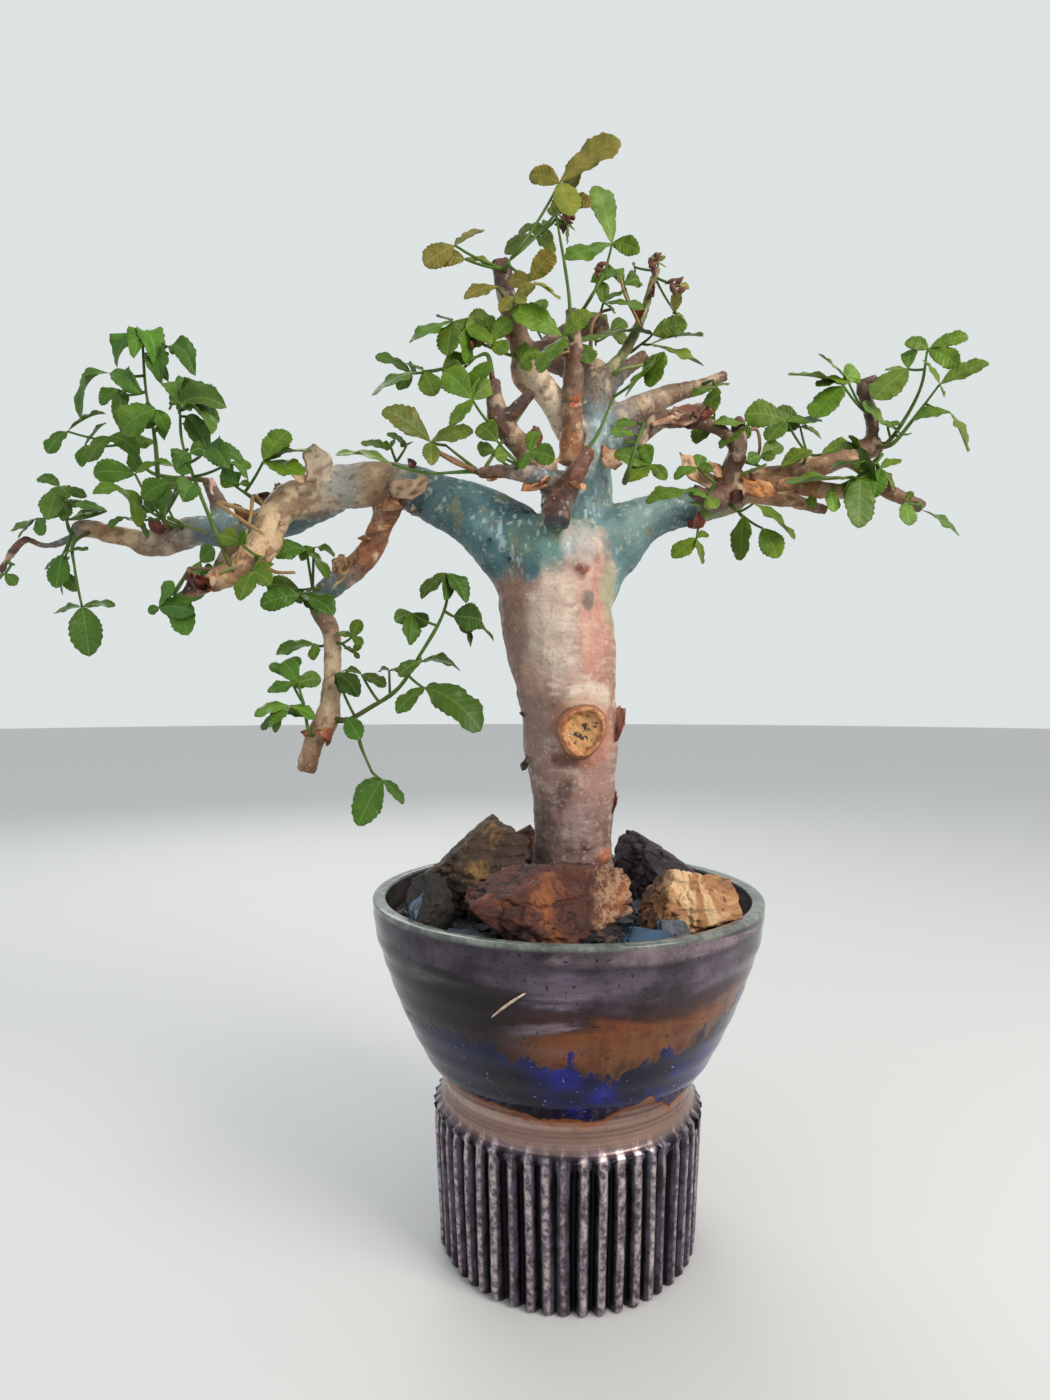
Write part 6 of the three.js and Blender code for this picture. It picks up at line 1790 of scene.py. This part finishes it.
def younger(leaves, share):
    """For a share of the leaves, one more: 0.55 to 0.85 as large, turned about its joint, a little behind."""
    more = []
    for joint, *tips in leaves:
        if leaf_dice.random() > share:
            continue
        turn = leaf_dice.uniform(-1.1, 1.1)
        scale = leaf_dice.uniform(0.55, 0.85)
        tips = np.array(tips, float)
        reach = tips[:, :3] - joint
        turned = np.stack([reach[:, 0] * np.cos(turn) - reach[:, 2] * np.sin(turn), reach[:, 1] + 3,
                           reach[:, 0] * np.sin(turn) + reach[:, 2] * np.cos(turn)], 1) * scale
        place = np.array(joint, float) + leaf_dice.normal(0, 1, 3) * (6, 5, 5) + (0, 6, -2)
        more.append([place, *np.concatenate([place + turned, tips[:, 3:] * scale], 1)])
    return more


def build_spray(name, stem, leaves):
    """Stem tube, stalk tubes and leaflet shells in one mesh, with a tone and vein marks at each vertex."""
    parts, tones, marks = [], [], []

    def put(part, tone, mark=NO_VEINS):
        """Keep a part, with its tone and its marks for each vertex."""
        parts.append(part)
        tones.append(np.broadcast_to(tone, (len(part[0]), 3)))
        marks.append(np.broadcast_to(mark, (len(part[0]), 3)))

    green = rgb("#4f6a26")
    brown = rgb("#6a4c34")
    stem_line = np.array(stem, float)
    reach = np.linalg.norm(samples[:, :3] - stem_line[0], axis=1) - samples[:, 3]
    nearest = np.argmin(reach)
    if STEM_REACH_MM[0] < reach[nearest] < STEM_REACH_MM[1]:
        stem_line = np.concatenate([samples[nearest:nearest + 1, :3], stem_line])
    if len(stem_line) > 1:
        stem_line = smooth_line(stem_line, 5 * len(stem_line))
        swell = 1 + 0.18 * noise(stem_line, 6, 3)
        radius = np.linspace(1.5, 0.6, len(stem_line)) * swell
        share = np.concatenate([np.repeat(np.linspace(0, 1, len(stem_line)), 8), [0, 1]])[:, None]
        put(swept_tube(stem_line, radius[:, None], 8), brown + (green - brown) * smooth_step(0, 0.5, share))
    base = rgb(LEAF_TONES.get(name, COMMON_TONE))
    base = ((1 - OLIVE_SHARE) * base + OLIVE_SHARE * OLIVE) * THROUGH_LEAF
    for joint, *tips in list(leaves) + younger(leaves, DENSE.get(name, COMMON_SHARE)):
        joint, tips = np.array(joint, float), np.array(tips, float)
        near = stem_line[np.argmin(np.linalg.norm(stem_line - joint, axis=1))]
        if np.linalg.norm(near - joint) > 0.5:
            line, radius = stalk(near, joint, 0.62, 0.05 * np.linalg.norm(near - joint))
            put(swept_tube(line, radius, 6), green)
        leaf_tone = base * leaf_dice.uniform(0.8, 1.22)
        joints = np.repeat(joint[None], len(tips), 0)
        shells, shell_marks = leaflets(joints, tips[:, :3], tips[:, 3], CURLED.get(name, 0.0), leaf_dice)
        for shell, mark in zip(shells, shell_marks):
            tone = leaf_tone * leaf_dice.uniform((0.82, 0.93, 0.8), (1.2, 1.07, 1.1))
            tone = tone * leaf_dice.uniform(0.82, 1.18)
            if name in SUNNED and leaf_dice.random() < SUNNED[name]:
                tone = 0.5 * tone + 0.5 * rgb("#7d5c22")
            flat = mark.reshape(-1, 3)
            put(closed_tube(shell), tone, np.concatenate([flat, flat[:1], flat[-1:]]))
    piece = make_object(name + "_foliage", *joined(parts))
    set_attribute(piece, "tone", np.clip(np.concatenate(tones), 0, 1))
    marks = np.concatenate(marks)
    for key, column in (("vein", 0), ("from_midrib", 1), ("margin", 2)):
        set_attribute(piece, key, marks[:, column])
    return piece


def leaf():
    """Living leaf: waxed and satin, IOR 1.3; paler midrib and side veins, the blade puckered between them."""
    material, tree = new_material("waxed living leaf")
    place = add(tree, "place")
    cloud = add(tree, "grain", place, 110, 4, 0.6)
    fine = add(tree, "grain", place, 700, 3, 0.6)
    tone = add(tree, "vertex", output="Color", attribute_name="tone")
    colour = add(tree, "mix", add(tree, "span", cloud, 0.3, 0.7, 0, 0.55), tone, linear("#2c4f18"))
    saw = add(tree, "zigzag", add(tree, "vertex", attribute_name="vein"), 0.5)
    side_veins = add(tree, "span", saw, 0.10, 0.0)
    midrib = add(tree, "span", add(tree, "vertex", attribute_name="from_midrib"), 0.55, 0.15)
    veins = add(tree, "larger", add(tree, "times", side_veins, 0.5), midrib)
    blade = add(tree, "span", add(tree, "vertex", attribute_name="from_midrib"), 8.9, 8.8)
    veins = add(tree, "times", veins, blade)
    colour = add(tree, "mix", add(tree, "times", veins, 0.16), colour, linear("#9fb86a"))
    edge = add(tree, "times", add(tree, "span", add(tree, "vertex", attribute_name="margin"), 0.93, 1.0),
               0.4)
    colour = add(tree, "mix", edge, colour, linear("#6f7436"))
    pucker = add(tree, "times", add(tree, "span", saw, 0.0, 0.35), blade)
    height = add(tree, "plus", pucker, add(tree, "times", fine, 0.35))
    finish(tree, colour, add(tree, "span", cloud, 0.3, 0.7, 0.38, 0.55), height, 0.12, IOR=1.3)
    return material


living_leaf = leaf()
leaf_count = 0
for name, (stem, leaves) in SPRAYS.items():
    spray = build_spray(name, stem, leaves)
    declare(spray, [name], living_leaf)
    leaf_count += sum(len(leaf) - 1 for leaf in leaves)
print(leaf_count, "leaflets")
